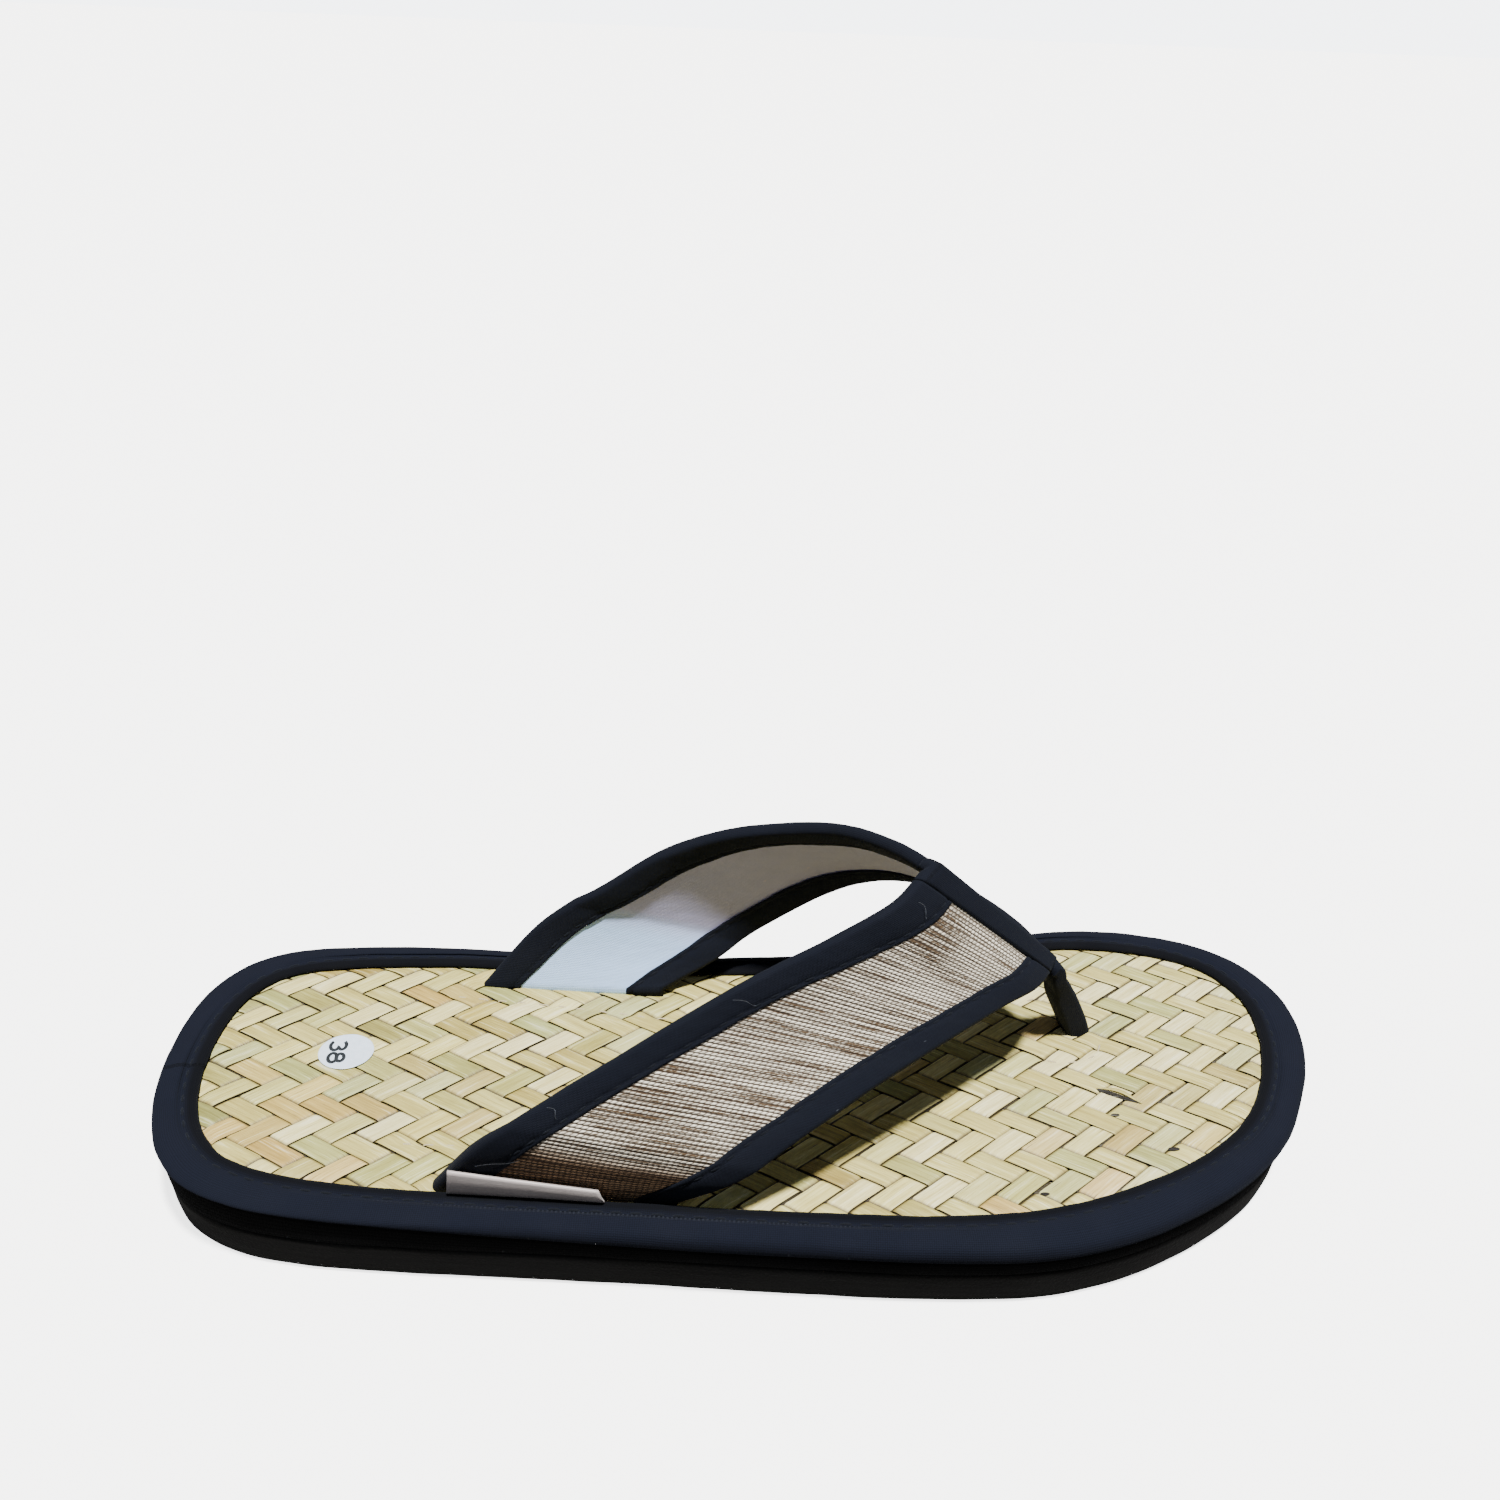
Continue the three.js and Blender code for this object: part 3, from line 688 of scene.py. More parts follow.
def satin_material():
    """Folded satin ribbon: fine threads along it and a soft gloss."""
    material, tree, shader, place = start_material("satin_ribbon", 0.38, 0.2, specular=0.5)
    threads = place_group(tree, FIBRES, place, Fineness=6.0)
    shade = ramp(tree, threads.outputs["Shade"], 0.3, 0.7)
    colour = blend(tree, shade, (168, 158, 156), (192, 184, 182))
    link(tree, colour, shader.inputs["Base Color"])
    bump(tree, shader, threads.outputs["Height"], 0.05, 1.0)
    return material


YARN_COUNT = 0.86  # thick yarns per mm along the strap
WARP_COUNT = 0.9  # fine yarns per mm across the strap
# Straws of another colour: their value's name, where it starts to show, how much, and the colour.
STRAW_TINTS = [("green", 0.5, 0.75, (150, 162, 104)), ("warm", 0.86, 0.6, (200, 156, 84))]
SHADE_END = 20.0  # mm from the inner wing's root where the lining's shade has faded out
SHADE_START = 29.0  # mm from that root where it is full


def cloths(*rows):
    """Cloth materials from rows of name, dark, light and lint colours, threads per mm, relief and sheen."""
    return [cloth_material(*row) for row in rows]


navy, navy_tape, side_cloth, lining, thread, straw_thread, hair = cloths(
    ("navy_cloth", (5, 7, 14), (15, 19, 32), (80, 84, 92), 2.3, 0.07, 0.02),
    ("navy_tape", (5, 7, 13), (14, 18, 29), (80, 84, 92), 2.3, 0.07, 0.02),
    ("side_cloth", (4, 4, 4), (10, 9, 9), (48, 44, 42), 1.5, 0.10, 0.01),
    ("lining_cloth", (152, 186, 232), (178, 206, 246), (214, 226, 244), 1.9, 0.05, 0.0),
    ("navy_thread", (6, 8, 12), (18, 21, 28), (60, 64, 70), 2.4, 0.06, 0.05),
    ("straw_thread", (150, 138, 108), (196, 184, 150), (214, 204, 176), 2.4, 0.06, 0.25),
    ("pale_hair", (66, 68, 72), (84, 86, 90), (96, 98, 102), 2.4, 0.05, 0.25),
)
STRAP_RUN = strap_runs(np.linspace(0, 2, 761))[-1]
# Painted shade: the lining is darkened to a warm grey except on the lowest 20 to 29 mm of the inner wing,
# which stays lit.
paint_shade_on_cloth(lining, 0, STRAP_RUN - SHADE_START, STRAP_RUN - SHADE_END, (237, 201, 200))
# Painted shade: the rim's cloth is darkened over its first 2.2 to 3.8 mm from the lip at the mat, as the
# shade in the groove there.
paint_shade_on_cloth(navy, 1, 2.2, 3.8, (142, 142, 142))
foam = foam_material()
straw_rising, straw_falling, straw_backing, straw_knots_and_slit_shade = (straw_material(*row) for row in (
    ("straw_pale", (232, 224, 172), (216, 206, 132), (186, 170, 92)),
    ("straw_tan", (208, 198, 126), (188, 176, 102), (156, 138, 72)),
    ("straw_backing", (120, 104, 74), (96, 82, 56), (70, 58, 40)),
    ("straw_knots_and_slit_shade", (40, 31, 20), (32, 25, 16), (26, 20, 13)),
))
tweed = tweed_material()
paper = paper_material()
ink = ink_material()
satin = satin_material()


# Sole, board and rim.

TREAD_X = (-98, -86, -74, 26, 38, 50, 62, 74, 86)  # mm, middles of the sole's cross grooves


def place_round(rows):
    """The cloth's place in mm on rings of the outline: along the outline, and up from ring to ring."""
    steps = np.linalg.norm(np.diff(rows, axis=0), axis=2).mean(1)
    place = np.zeros(rows.shape)
    place[..., 0] = RIM["run"]
    place[..., 1] = np.concatenate([[0], np.cumsum(steps)])[:, None]
    return place


def toe_tip(x, y):
    """How far a point of the outline belongs to the tip of the toe, 0 to 1."""
    return smoothstep(x, 0.3 * LENGTH, 0.5 * LENGTH) * smoothstep(y, -0.05 * WIDTH, 0.3 * WIDTH)


def build_foam_sole():
    tip = toe_tip(RIM["x"], RIM["y"])
    drift = 0.18 * wave(RIM["run"], 4)
    profile = [(3.9, 5.0, 0.0, 0.0), (3.5, 4.4, 0.12, 0.2), (3.05, 2.4, 0.42, 0.7), (2.8, 1.2, 0.9, 1.2),
               (2.5, 0.6, 2.4, 0.9), (2.25, 0.2, 4.6, 0.3), (2.0, 0.0, 6.4, 0.0), (1.92, 0.0, 7.2, 0.0),
               (2.05, 0.0, 7.75, 0.0), (2.5, 0.0, 8.0, 0.0)]
    rings = [inset_ring(inset + extra * tip + drift, height + lift * tip)
             for inset, extra, height, lift in profile]
    run = np.tile(RIM["run"], len(rings))
    up = np.repeat([row[2] for row in profile], OUTLINE_POINTS)
    piece = lofted("foam_sole", rings, foam, "foam", np.stack([run, up, 0 * up], 1))
    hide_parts("outsole")
    cut_tread(piece)


def cut_tread(piece):
    """Presses shallow cross grooves into the sole's floor face."""
    work = bmesh.new()
    work.from_mesh(piece.data)
    for x in TREAD_X:
        for edge in (-1.5, -1.1, 1.1, 1.5):
            low = [f for f in work.faces if abs(f.calc_center_median().z) < 1e-5]
            edges, corners = {e for f in low for e in f.edges}, {v for f in low for v in f.verts}
            bmesh.ops.bisect_plane(work, geom=low + list(edges) + list(corners),
                                   plane_co=((x + edge) * MM, 0, 0), plane_no=(1, 0, 0))
    for x in TREAD_X:
        for v in work.verts:
            if abs(v.co.z) < 1e-5 and abs(v.co.x - x * MM) < 1.2 * MM:
                v.co.z = 1.0 * MM
    work.to_mesh(piece.data)
    work.free()


def heel_share(x):
    """How far a point of the outline belongs to the heel, 0 to 1."""
    return smoothstep(-x, 15, 115)


def build_board_cover():
    drift = 0.15 * wave(RIM["run"], 9)
    heel = heel_share(RIM["x"])
    profile = [(2.4, 8.3, 0.0), (1.9, 8.42, 0.05), (1.55, 8.75, 0.3), (1.4, 9.3, 0.9), (1.3, 10.2, 1.8),
               (1.35, 11.0, 2.5), (1.5, 11.6, 3.0), (2.3, 11.9, 3.2), (5.5, 13.7, 0.0)]
    rings = np.array([inset_ring(inset + drift, height + rise * heel) for inset, height, rise in profile])
    piece = lofted("board_cover", rings, side_cloth, "navy_cloth", place_round(rings))
    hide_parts("covered_board")


RIM_STITCH = 3.0  # mm from the rim's inner edge to its stitch line
STITCH_VALLEY = RIM_TOP - 0.52
RIM_SIDE_TOP = RIM_TOP - 0.38
GATHER_DEPTH = 0.17
RIM_STITCH_STEP = 4.1  # mm from gather to gather along it


def rim_section():
    """The rim's section from its inner edge outward: share of band, mm of inset, height."""
    lip = MAT_TOP + 0.3
    return [
        (1, 0.15, lip), (1, 0.0, lip + 0.25), (1, -0.12, lip + 0.62), (1, -0.55, lip + 0.88),
        (1, -1.2, RIM_TOP - 0.12), (1, -1.9, RIM_TOP - 0.14), (1, -2.5, RIM_TOP - 0.3),
        (1, -3.0, STITCH_VALLEY), (1, -3.5, RIM_TOP - 0.32), (1, -4.1, RIM_TOP - 0.08),
        (0.55, 0.0, RIM_TOP + 0.06), (0.42, 0.2, RIM_TOP), (0.28, 0.4, RIM_TOP - 0.16),
        (0, 2.2, RIM_SIDE_TOP), (0, 1.4, RIM_TOP - 0.72), (0, 0.75, RIM_TOP - 1.2),
        (0, 0.3, RIM_TOP - 1.8), (0, 0.05, RIM_TOP - 2.5), (0, 0.0, RIM_TOP - 3.2), (0, 0.12, RIM_TOP - 3.9),
        (0, 0.45, RIM_TOP - 4.5), (0, 1.0, RIM_HEM + 0.12), (0, 1.9, RIM_HEM), (0, 2.1, RIM_HEM + 0.4),
        (0, 2.1, MAT_FOOT - 0.1), (1, -4.4, MAT_FOOT), (1, -4.4, lip - 0.1), (1, -2.0, lip),
    ]


def rim_pucker(inset_from_edge):
    """Small gathers in the rim's cloth, deepest near its stitches."""
    run = RIM["run"]
    gathers = 0.5 + 0.5 * np.cos(2 * math.pi * run / RIM_STITCH_STEP + 1.4 * wave(run, 21, 4, 60))
    strength = 0.6 + 0.4 * wave(run, 22, 4, 75)
    return gathers * strength * np.exp(-((inset_from_edge - 2.4) / 1.7) ** 2)


def build_rim():
    run, band = RIM["run"], RIM["band"]
    sway = 0.22 * wave(run, 5, 5, 80)
    swell = 0.14 * wave(run, 6, 6, 55)
    edge_sway = 0.16 * wave(run, 7, 6, 36)
    rings = []
    for share, mm, height in rim_section():
        inset = share * band + mm
        from_edge = band - inset
        shown = height > RIM_HEM + 1.0
        z = height + (swell * smoothstep(from_edge, 1.0, 5.0) if shown else 0.0)
        if height > MAT_TOP + 0.6:
            z = z + GATHER_DEPTH * (rim_pucker(from_edge) - 0.5)
        if share == 0:
            z = RIM_SIDE_TOP - (RIM_SIDE_TOP - z) * (1 - HEM_RISE * heel_share(RIM["x"]))
        inset = inset + (sway * smoothstep(from_edge, 5.0, 9.0) if shown else 0.0)
        inset = inset + np.where(from_edge < 1.0, edge_sway, 0.0)
        rings.append(inset_ring(np.maximum(inset, 0.0), z))
    rows = np.array(rings)
    faces = grid_faces(len(rows), OUTLINE_POINTS, loop_rows=True, loop_cols=True)
    piece = make_piece("rim_roll", rows, faces, navy, "navy_cloth", place_round(rows))
    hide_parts("rim_binding")


def stitches(name, line, up, length, gap, thick, material, slot, sink=0.25, loop=False, seed=1):
    """A row of stitches on a line of points in mm, each a short thread that dives in at both ends."""
    line, up = np.asarray(line, float), np.asarray(up, float)
    if loop:
        line, up = np.vstack([line, line[:1]]), np.vstack([up, up[:1]])
    run = run_along(line)
    local = np.random.default_rng(seed)
    count = int(run[-1] // (length + gap))
    step = run[-1] / count
    shares = np.array([0.0, 0.08, 0.25, 0.5, 0.75, 0.92, 1.0])
    dip = np.array([1.0, 0.45, 0.08, 0.0, 0.08, 0.45, 1.0])
    fat = np.array([0.55, 0.85, 1.0, 1.0, 1.0, 0.85, 0.55])
    rings, sides, points, faces, place = len(shares), 6, [], [], []
    for k in range(count):
        begin = k * step + 0.5 * gap + local.uniform(-0.12, 0.12) * gap
        size = (step - gap) * local.uniform(0.9, 1.06)
        at = begin + size * shares
        centre, raised = (
            np.stack([np.interp(at, run, values[:, i]) for i in range(3)], 1) for values in (line, up)
        )
        raised /= np.linalg.norm(raised, axis=1)[:, None]
        ahead = centre[-1] - centre[0]
        ahead /= np.linalg.norm(ahead)
        beside = np.cross(ahead, raised)
        beside += ahead * local.uniform(-0.04, 0.04)
        centre = centre - raised * (sink * dip)[:, None] * 2
        base = len(points)
        for i in range(rings):
            for j in range(sides):
                turn = 2 * math.pi * j / sides
                offset = beside[i] * math.cos(turn) + raised[i] * math.sin(turn) * 0.75
                points.append(centre[i] + offset * thick * 0.5 * fat[i])
                place.append((at[i], thick * turn * 0.5, k * 0.37))
        faces += [[base + v for v in f] for f in grid_faces(rings, sides, loop_cols=True).tolist()]
        end = base + (rings - 1) * sides
        faces += [[base + j for j in range(sides)][::-1], [end + j for j in range(sides)]]
    make_piece(name, points, faces, material, slot, place)


def build_rim_stitches():
    z = STITCH_VALLEY + GATHER_DEPTH * (rim_pucker(np.full(OUTLINE_POINTS, RIM_STITCH)) - 0.5) + 0.10
    line = inset_ring(RIM["band"] - RIM_STITCH, z)
    up = np.tile([0.0, 0.0, 1.0], (OUTLINE_POINTS, 1))
    stitches("rim_stitches", line, up, 2.9, 1.2, 0.62, thread, "navy_cloth", loop=True, seed=11)


# Woven footbed.

def distance_to_line(points, line, closed):
    """Distance of 2-D points to a line of 2-D points, with the sign of the side for a closed line."""
    a, b = (line, np.roll(line, -1, axis=0)) if closed else (line[:-1], line[1:])
    best = np.full(len(points), 1e9)
    signed = np.zeros(len(points))
    for start in range(0, len(points), 4000):
        p = points[start:start + 4000][:, None, :]
        d = b - a
        t = np.clip(((p - a) * d).sum(-1) / (d * d).sum(-1), 0, 1)
        off = p - (a + t[..., None] * d)
        dist = np.hypot(off[..., 0], off[..., 1])
        k = dist.argmin(1)
        rows = np.arange(len(k))
        best[start:start + 4000] = dist[rows, k]
        cross = d[k, 0] * off[rows, k, 1] - d[k, 1] * off[rows, k, 0]
        signed[start:start + 4000] = np.sign(cross)
    return best * signed if closed else best


LIP_EDGE = inset_ring(RIM["band"], 0)[:, :2]
WING_ROOTS = [
    np.array([edge_at(wing + side, 0.0)[:2] for side in ("_rear", "_front")]) for wing in ("outer", "inner")
]
POST_CENTRE = np.array([(POST_ROOT[0] - 0.5) * LENGTH, POST_ROOT[1] * WIDTH])

# Rows of sewing through the mat that hold the strap's hidden ends: pairs of points in mm.
MAT_SEAMS = [
    [(-78.0, -16.6), (-62.0, -18.4), (-40.0, -22.0), (-16.0, -26.6), (-9.0, -30.0)],
    [(-70.0, 33.4), (-65.0, 32.4), (-45.0, 28.3), (-30.0, 24.6), (-20.0, 22.4), (-14.0, 24.0)],
    [(64.6, 3.2), (69.0, 1.6), (77.0, 3.6), (80.5, 9.0)],
    [(66.0, 24.6), (72.0, 26.4), (78.0, 24.4), (81.0, 20.0)],
]
MAT_UNDER_RIM = 4.0  # mm that the mat's backing runs on under the rim
STRIP_REACH = 44  # strips to each side of the middle, before the mat is cut out
SLIT = (np.array((73.9, -8.1)), np.array((82.6, -13.6)))
KNOTS = [((75.5, -16.8), 1.0), ((84.7, -28.0), 1.3), ((53.6, -39.3), 1.0)]  # centre and half length


def mat_relief(x, y):
    """How much the mat's surface is pressed down at a place: by its seams, the strap's slits and the toe
    post.
    """
    spots = np.stack([x, y], 1)
    pressed = np.zeros(len(spots))
    for seam in MAT_SEAMS:
        d = distance_to_line(spots, np.array(seam), False)
        pressed = np.maximum(pressed, 0.38 * np.exp(-(d / 1.1) ** 2))
    for root in WING_ROOTS:
        d = distance_to_line(spots, root, False)
        pressed = np.maximum(pressed, 0.7 * np.exp(-(np.maximum(d - 1.2, 0) / 0.9) ** 2))
    d = np.hypot(x - POST_CENTRE[0], (y - POST_CENTRE[1]) * 0.6)
    return np.maximum(pressed, 0.6 * np.exp(-(np.maximum(d - 1.8, 0) / 1.0) ** 2))


def float_share(phase, start):
    """How far a strip lies on top, 0 to 1: for two of every four steps, from start on."""
    since = (phase - start + 1) % 4 - 1
    return smoothstep(since, -0.14, 0.16) - smoothstep(since, 1.84, 2.14)


def scattered(floats, strip, *numbers):
    """A value of 0 to 1 for each float of a strip, spread as if by chance."""
    by_float, by_strip, spread = numbers
    return (np.sin(floats * by_float + strip * by_strip) * spread) % 1.0


def build_strips(name, rising, material):
    """The straw strips that run one way, each over two and under two of the others."""
    cos, sin = math.cos(STRIP_LEAN), math.sin(STRIP_LEAN)
    own = np.array([cos, sin if rising else -sin]) * STRIP_PITCH
    other = np.array([cos, -sin if rising else sin]) * STRIP_PITCH
    inner = np.array([0.0, 0.04, 0.08, 0.14, 0.3, 0.5, 0.7, 0.86, 0.92, 0.96])
    steps = (np.arange(-STRIP_REACH, STRIP_REACH)[:, None] + inner[None, :]).reshape(-1)
    lanes = np.array([-1.0, -0.93, -0.7, -0.25, 0.25, 0.7, 0.93, 1.0])
    domed = np.array([-0.20, -0.06, 0.0, 0.03, 0.03, 0.0, -0.06, -0.20])
    # Painted shade along each strip's edges: their shown value drops to 0.55.
    strip_edge_shade = np.where(np.abs(lanes) > 0.95, 0.55, 1.0)
    whole = np.ones(len(lanes))
    points, places, faces = [], [], []
    shades = {"tone": [], "green": [], "warm": [], "shown": []}
    local = np.random.default_rng(52 if rising else 53)
    total = 0
    for j in range(-STRIP_REACH, STRIP_REACH):
        wide = 0.5 * (1 - 2 * local.uniform(0.014, 0.066))
        aside = local.uniform(-0.012, 0.012)
        shade = local.uniform(0.0, 1.0)
        lift = local.uniform(-0.05, 0.05)
        over = float_share(steps - j, 0) if rising else float_share(j - steps + 1, 2)
        middle = j + 0.5 + aside + 0.012 * np.sin(steps * 0.9 + j)
        sway = 1 + 0.04 * np.sin(steps * 0.37 + 2.1 * j)
        cross = middle[:, None] + wide * lanes[None, :] * sway[:, None]
        xy = steps[:, None, None] * own + cross[..., None] * other
        z = MAT_TOP - 0.30 + 0.62 * over[:, None] + domed[None, :] + lift * 0.6
        z = z + 0.05 * np.sin(steps * 2.3 + 1.7 * j)[:, None]
        flat = np.concatenate([xy, z[..., None]], -1).reshape(-1, 3)
        near = (np.abs(flat[:, 0]) < LENGTH / 2 + 6) & (np.abs(flat[:, 1]) < WIDTH / 2 + 6)
        own_faces, used = kept_part(grid_faces(len(steps), len(lanes)), near)
        if len(used) == 0:
            continue
        place = np.stack([np.repeat(steps * STRIP_PITCH, len(lanes)),
                          np.tile(lanes * 2.5, len(steps)), np.full(len(flat), j * 1.7)], 1)
        floats = np.floor((steps - j + 1 if rising else j - steps) / 4.0)
        for label, values, share in (
            ("tone", 0.35 * shade + 0.65 * scattered(floats, j, 12.9898, 78.233, 43758.5453), whole),
            ("green", scattered(floats, j, 39.346, 11.135, 24634.6345), whole),
            ("warm", scattered(floats, j, 73.156, 52.235, 31415.9265), whole),
            ("shown", over, strip_edge_shade),
        ):
            shades[label].append(np.outer(values, share).reshape(-1)[used])
        points.append(flat[used])
        places.append(place[used])
        faces.append(own_faces + total)
        total += len(used)
    shades = {label: np.concatenate(parts) for label, parts in shades.items()}
    fit_to_mat(name, np.vstack(points), np.vstack(faces), np.vstack(places), shades, material)


def fit_to_mat(name, points, faces, place, shades, material):
    """Cuts strips off under the rim, and presses them down at its lip, at seams and at slits."""
    inside = distance_to_line(points[:, :2], LIP_EDGE, True)
    faces, used = kept_part(faces, inside > -3.2)
    points, place, inside = points[used], place[used], inside[used]
    shades = {label: values[used] for label, values in shades.items()}
    paler = 0.35 * smoothstep(points[:, 0], 10, 90) - 0.08 * smoothstep(-points[:, 0], 40, 110)
    shades["tone"] = np.clip(shades["tone"] - paler, 0, 1)
    free = smoothstep(inside, -0.2, 2.2)
    low = MAT_TOP - 0.45
    points[:, 2] = low + (points[:, 2] - low) * (0.35 + 0.65 * free) - mat_relief(points[:, 0], points[:, 1])
    on_sticker = np.hypot(points[:, 0] - STICKER_CENTRE[0], points[:, 1] - STICKER_CENTRE[1])
    cap = np.where(on_sticker < STICKER_RADIUS + 0.4, MAT_TOP + 0.24, 99.0)
    points[:, 2] = np.minimum(points[:, 2], cap)
    face_up(make_piece(name, points, faces, material, "straw", place, outward=False, **shades))


def build_straw_faults():
    """A short slit, a flat near-black patch that paints the shade inside it, with a loose sliver beside it,
    and a few dark knots in the straw.
    """
    start, end = SLIT
    count, sides = 24, 16
    ahead = (end - start) / np.linalg.norm(end - start)
    aside = np.array([-ahead[1], ahead[0]])
    share = np.linspace(0, 1, count)
    bow = np.sin(math.pi * share)
    wide = 0.85 * bow ** 0.6 * (1.25 - 0.8 * share)
    line = start + (end - start) * share[:, None]
    rows = [line + aside * wide[:, None], line - aside * wide[:, None]]
    # Painted shade: the slit is a flat near-black patch laid on the weave, standing for the shade inside it;
    # the knots are the straw's own dark colour.
    points = np.vstack([np.c_[row, np.full(count, WEAVE_TOP + 0.03)] for row in rows])
    faces = [[i, i + 1, count + 1 + i, count + i] for i in range(count - 1)]
    turn = np.linspace(0, 2 * math.pi, sides, endpoint=False)
    for centre, size in KNOTS:
        base = len(points)
        ring = np.array(centre) + np.stack([size * np.cos(turn), 0.45 * size * np.sin(turn)], 1)
        points = np.vstack([points, np.c_[ring, np.full(sides, WEAVE_TOP + 0.04)]])
        faces.append([base + i for i in range(sides)])
    make_piece("straw_slit_and_knots", points, faces, straw_knots_and_slit_shade, "straw", points, outward=False,
               tone=np.ones(len(points)), shown=np.ones(len(points)))
    lift = WEAVE_TOP + 0.06 + 0.5 * bow ** 2
    edge = line + aside * (wide[:, None] + 0.05)
    far = line + aside * (wide[:, None] + 0.9 * bow[:, None] + 0.08)
    ring = np.stack([np.c_[edge, lift], np.c_[far, lift + 0.05],
                     np.c_[far, lift - 0.15], np.c_[edge, lift - 0.2]], 1)
    place = np.stack([np.repeat(share * 12, 4), np.tile([0, 0.8, 0.8, 0], count), np.ones(4 * count)], 1)
    lofted("loose_sliver", ring, straw_falling, "straw", place,
           tone=np.full(4 * count, 0.2), shown=np.ones(4 * count))


def build_footbed():
    rows = [inset_ring(RIM["band"] - MAT_UNDER_RIM, height) for height in (MAT_FOOT, MAT_TOP - 0.75)]
    count = 2 * OUTLINE_POINTS
    backing = lofted("footbed_backing", rows, straw_backing, "straw",
                     tone=np.full(count, 0.5), shown=np.ones(count))
    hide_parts("woven_footbed")
    build_strips("straw_rising", True, straw_rising)
    build_strips("straw_falling", False, straw_falling)
    build_straw_faults()
    for k, seam in enumerate(MAT_SEAMS):
        line = evenly(smooth_line([(x, y, 0) for x, y in seam], False, np.linspace(0, 1, 60)), 60)
        line[:, 2] = WEAVE_TOP - 0.42
        up = np.tile([0.0, 0.0, 1.0], (len(line), 1))
        stitches(f"mat_stitches_{k + 1}", line, up, 2.5, 2.0, 0.45, straw_thread, "straw", seed=31 + k)


# Strap.

def with_feet(rows, place, height, ends, lead=0.0):
    """Takes a cloth's first ring (0) or last ring (-1) down to a height, lead mm further along it."""
    for end in ends:
        foot, spot = rows[end].copy(), place[end].copy()
        foot[:, 2] = height
        spot[:, 0] += lead if end else -lead
        at = len(rows) if end else 0
        rows, place = np.insert(rows, at, foot, 0), np.insert(place, at, spot, 0)
    return rows, place


def shell(name, u, lanes, depths, material, along):
    """A thin closed shell over the strap. depths gives its outer and its inner depth at a place."""
    wide = strap_width(u)
    inset = 1.3
    share = np.tile(np.linspace(0, 1, lanes), (len(u), 1))
    s = inset + (wide[:, None] - 2 * inset) * share
    uu = np.repeat(u[:, None], lanes, 1)
    outside, inside = (strap_points(uu, s, depth) for depth in depths(uu, share, s))
    rows = np.concatenate([outside, inside[:, ::-1]], axis=1)
    place = np.zeros(rows.shape)
    place[..., 0] = along[:, None]
    place[..., 1] = np.concatenate([s, s[:, ::-1]], axis=1)
    rows, place = with_feet(rows, place, MAT_FOOT, (0, -1), 2.0)
    return lofted(name, rows, material, "tweed", place)


def build_strap():
    fine, coarse = np.linspace(0, 2, 761), np.linspace(0, 2, 241)
    along = strap_runs(fine)

    def middle(share):
        return np.clip(1 - (2 * share - 1) ** 2, 0, 1)

    def yarn_relief(u, s):
        turns = np.interp(u, fine, along) * YARN_COUNT
        thick = 0.55 + 0.45 * np.sin(np.floor(turns) * 7.31 + 0.05 * s)
        return 0.10 * thick * np.abs(np.sin(math.pi * turns))

    def face_depths(u, share, s):
        swell = 0.45 * middle(share) ** 0.6
        drape = 0.12 * np.sin(9.0 * u + 2.0 * share) * middle(share)
        return 0.95 - swell - drape - yarn_relief(u, s), 1.5 + 0 * s

    def lining_depths(u, share, s):
        drape = 0.10 * np.sin(13.0 * u + 3.0 * share)
        return 1.6 + 0 * s, 2.3 + (0.25 + drape) * middle(share)

    face = shell("strap_face", fine, 34, face_depths, tweed, along)
    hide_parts("strap_upper")
    shell("strap_lining", coarse, 24, lining_depths, lining, strap_runs(coarse))


SEAM_IN = 1.6  # mm from a binding's inner edge to its seam
TAPE_GAP = 0.0028  # share of a wing between its bindings and the ridge's tape
OUTER_TAPE_END = 1 - RIDGE_OUTER_SIDE - TAPE_GAP
INNER_TAPE_START = 1 + RIDGE_INNER_SIDE + TAPE_GAP


def tape_section(width):
    """Folded tape's section: inward distance from the strap's edge and depth, outside first."""
    back = STRAP_THICK
    outside = [(width, 0.55), (width - 0.15, 0.22), (width - 0.6, 0.06), (width - 1.1, 0.10),
               (width - SEAM_IN, 0.30), (width - 2.1, 0.10), (width - 2.8, -0.02),
               (width * 0.55, -0.10), (width * 0.35, -0.04)]
    fold = [(1.5, 0.02), (0.85, 0.12), (0.35, 0.42), (0.08, 0.95), (0.0, back / 2), (0.08, back - 0.95),
            (0.35, back - 0.42), (0.85, back - 0.12), (1.5, back - 0.02)]
    inside = [(width * 0.35, back + 0.04), (width * 0.55, back + 0.10), (width - 2.8, back + 0.02),
              (width - 2.1, back - 0.10), (width - SEAM_IN, back - 0.28), (width - 1.1, back - 0.10),
              (width - 0.6, back - 0.06), (width - 0.15, back - 0.2), (width, back - 0.5)]
    within = [(width - 0.3, back - 0.6), (0.7, back - 0.6), (0.7, 0.6), (width - 0.3, 0.65)]
    return outside + fold + inside + within


def tape_place(along, section, number):
    """The place on a tape of its section's points: along it, round its section, and its own number."""
    around = run_along(section)
    return np.stack([np.full(len(around), along), around, np.full(len(around), number)], 1)


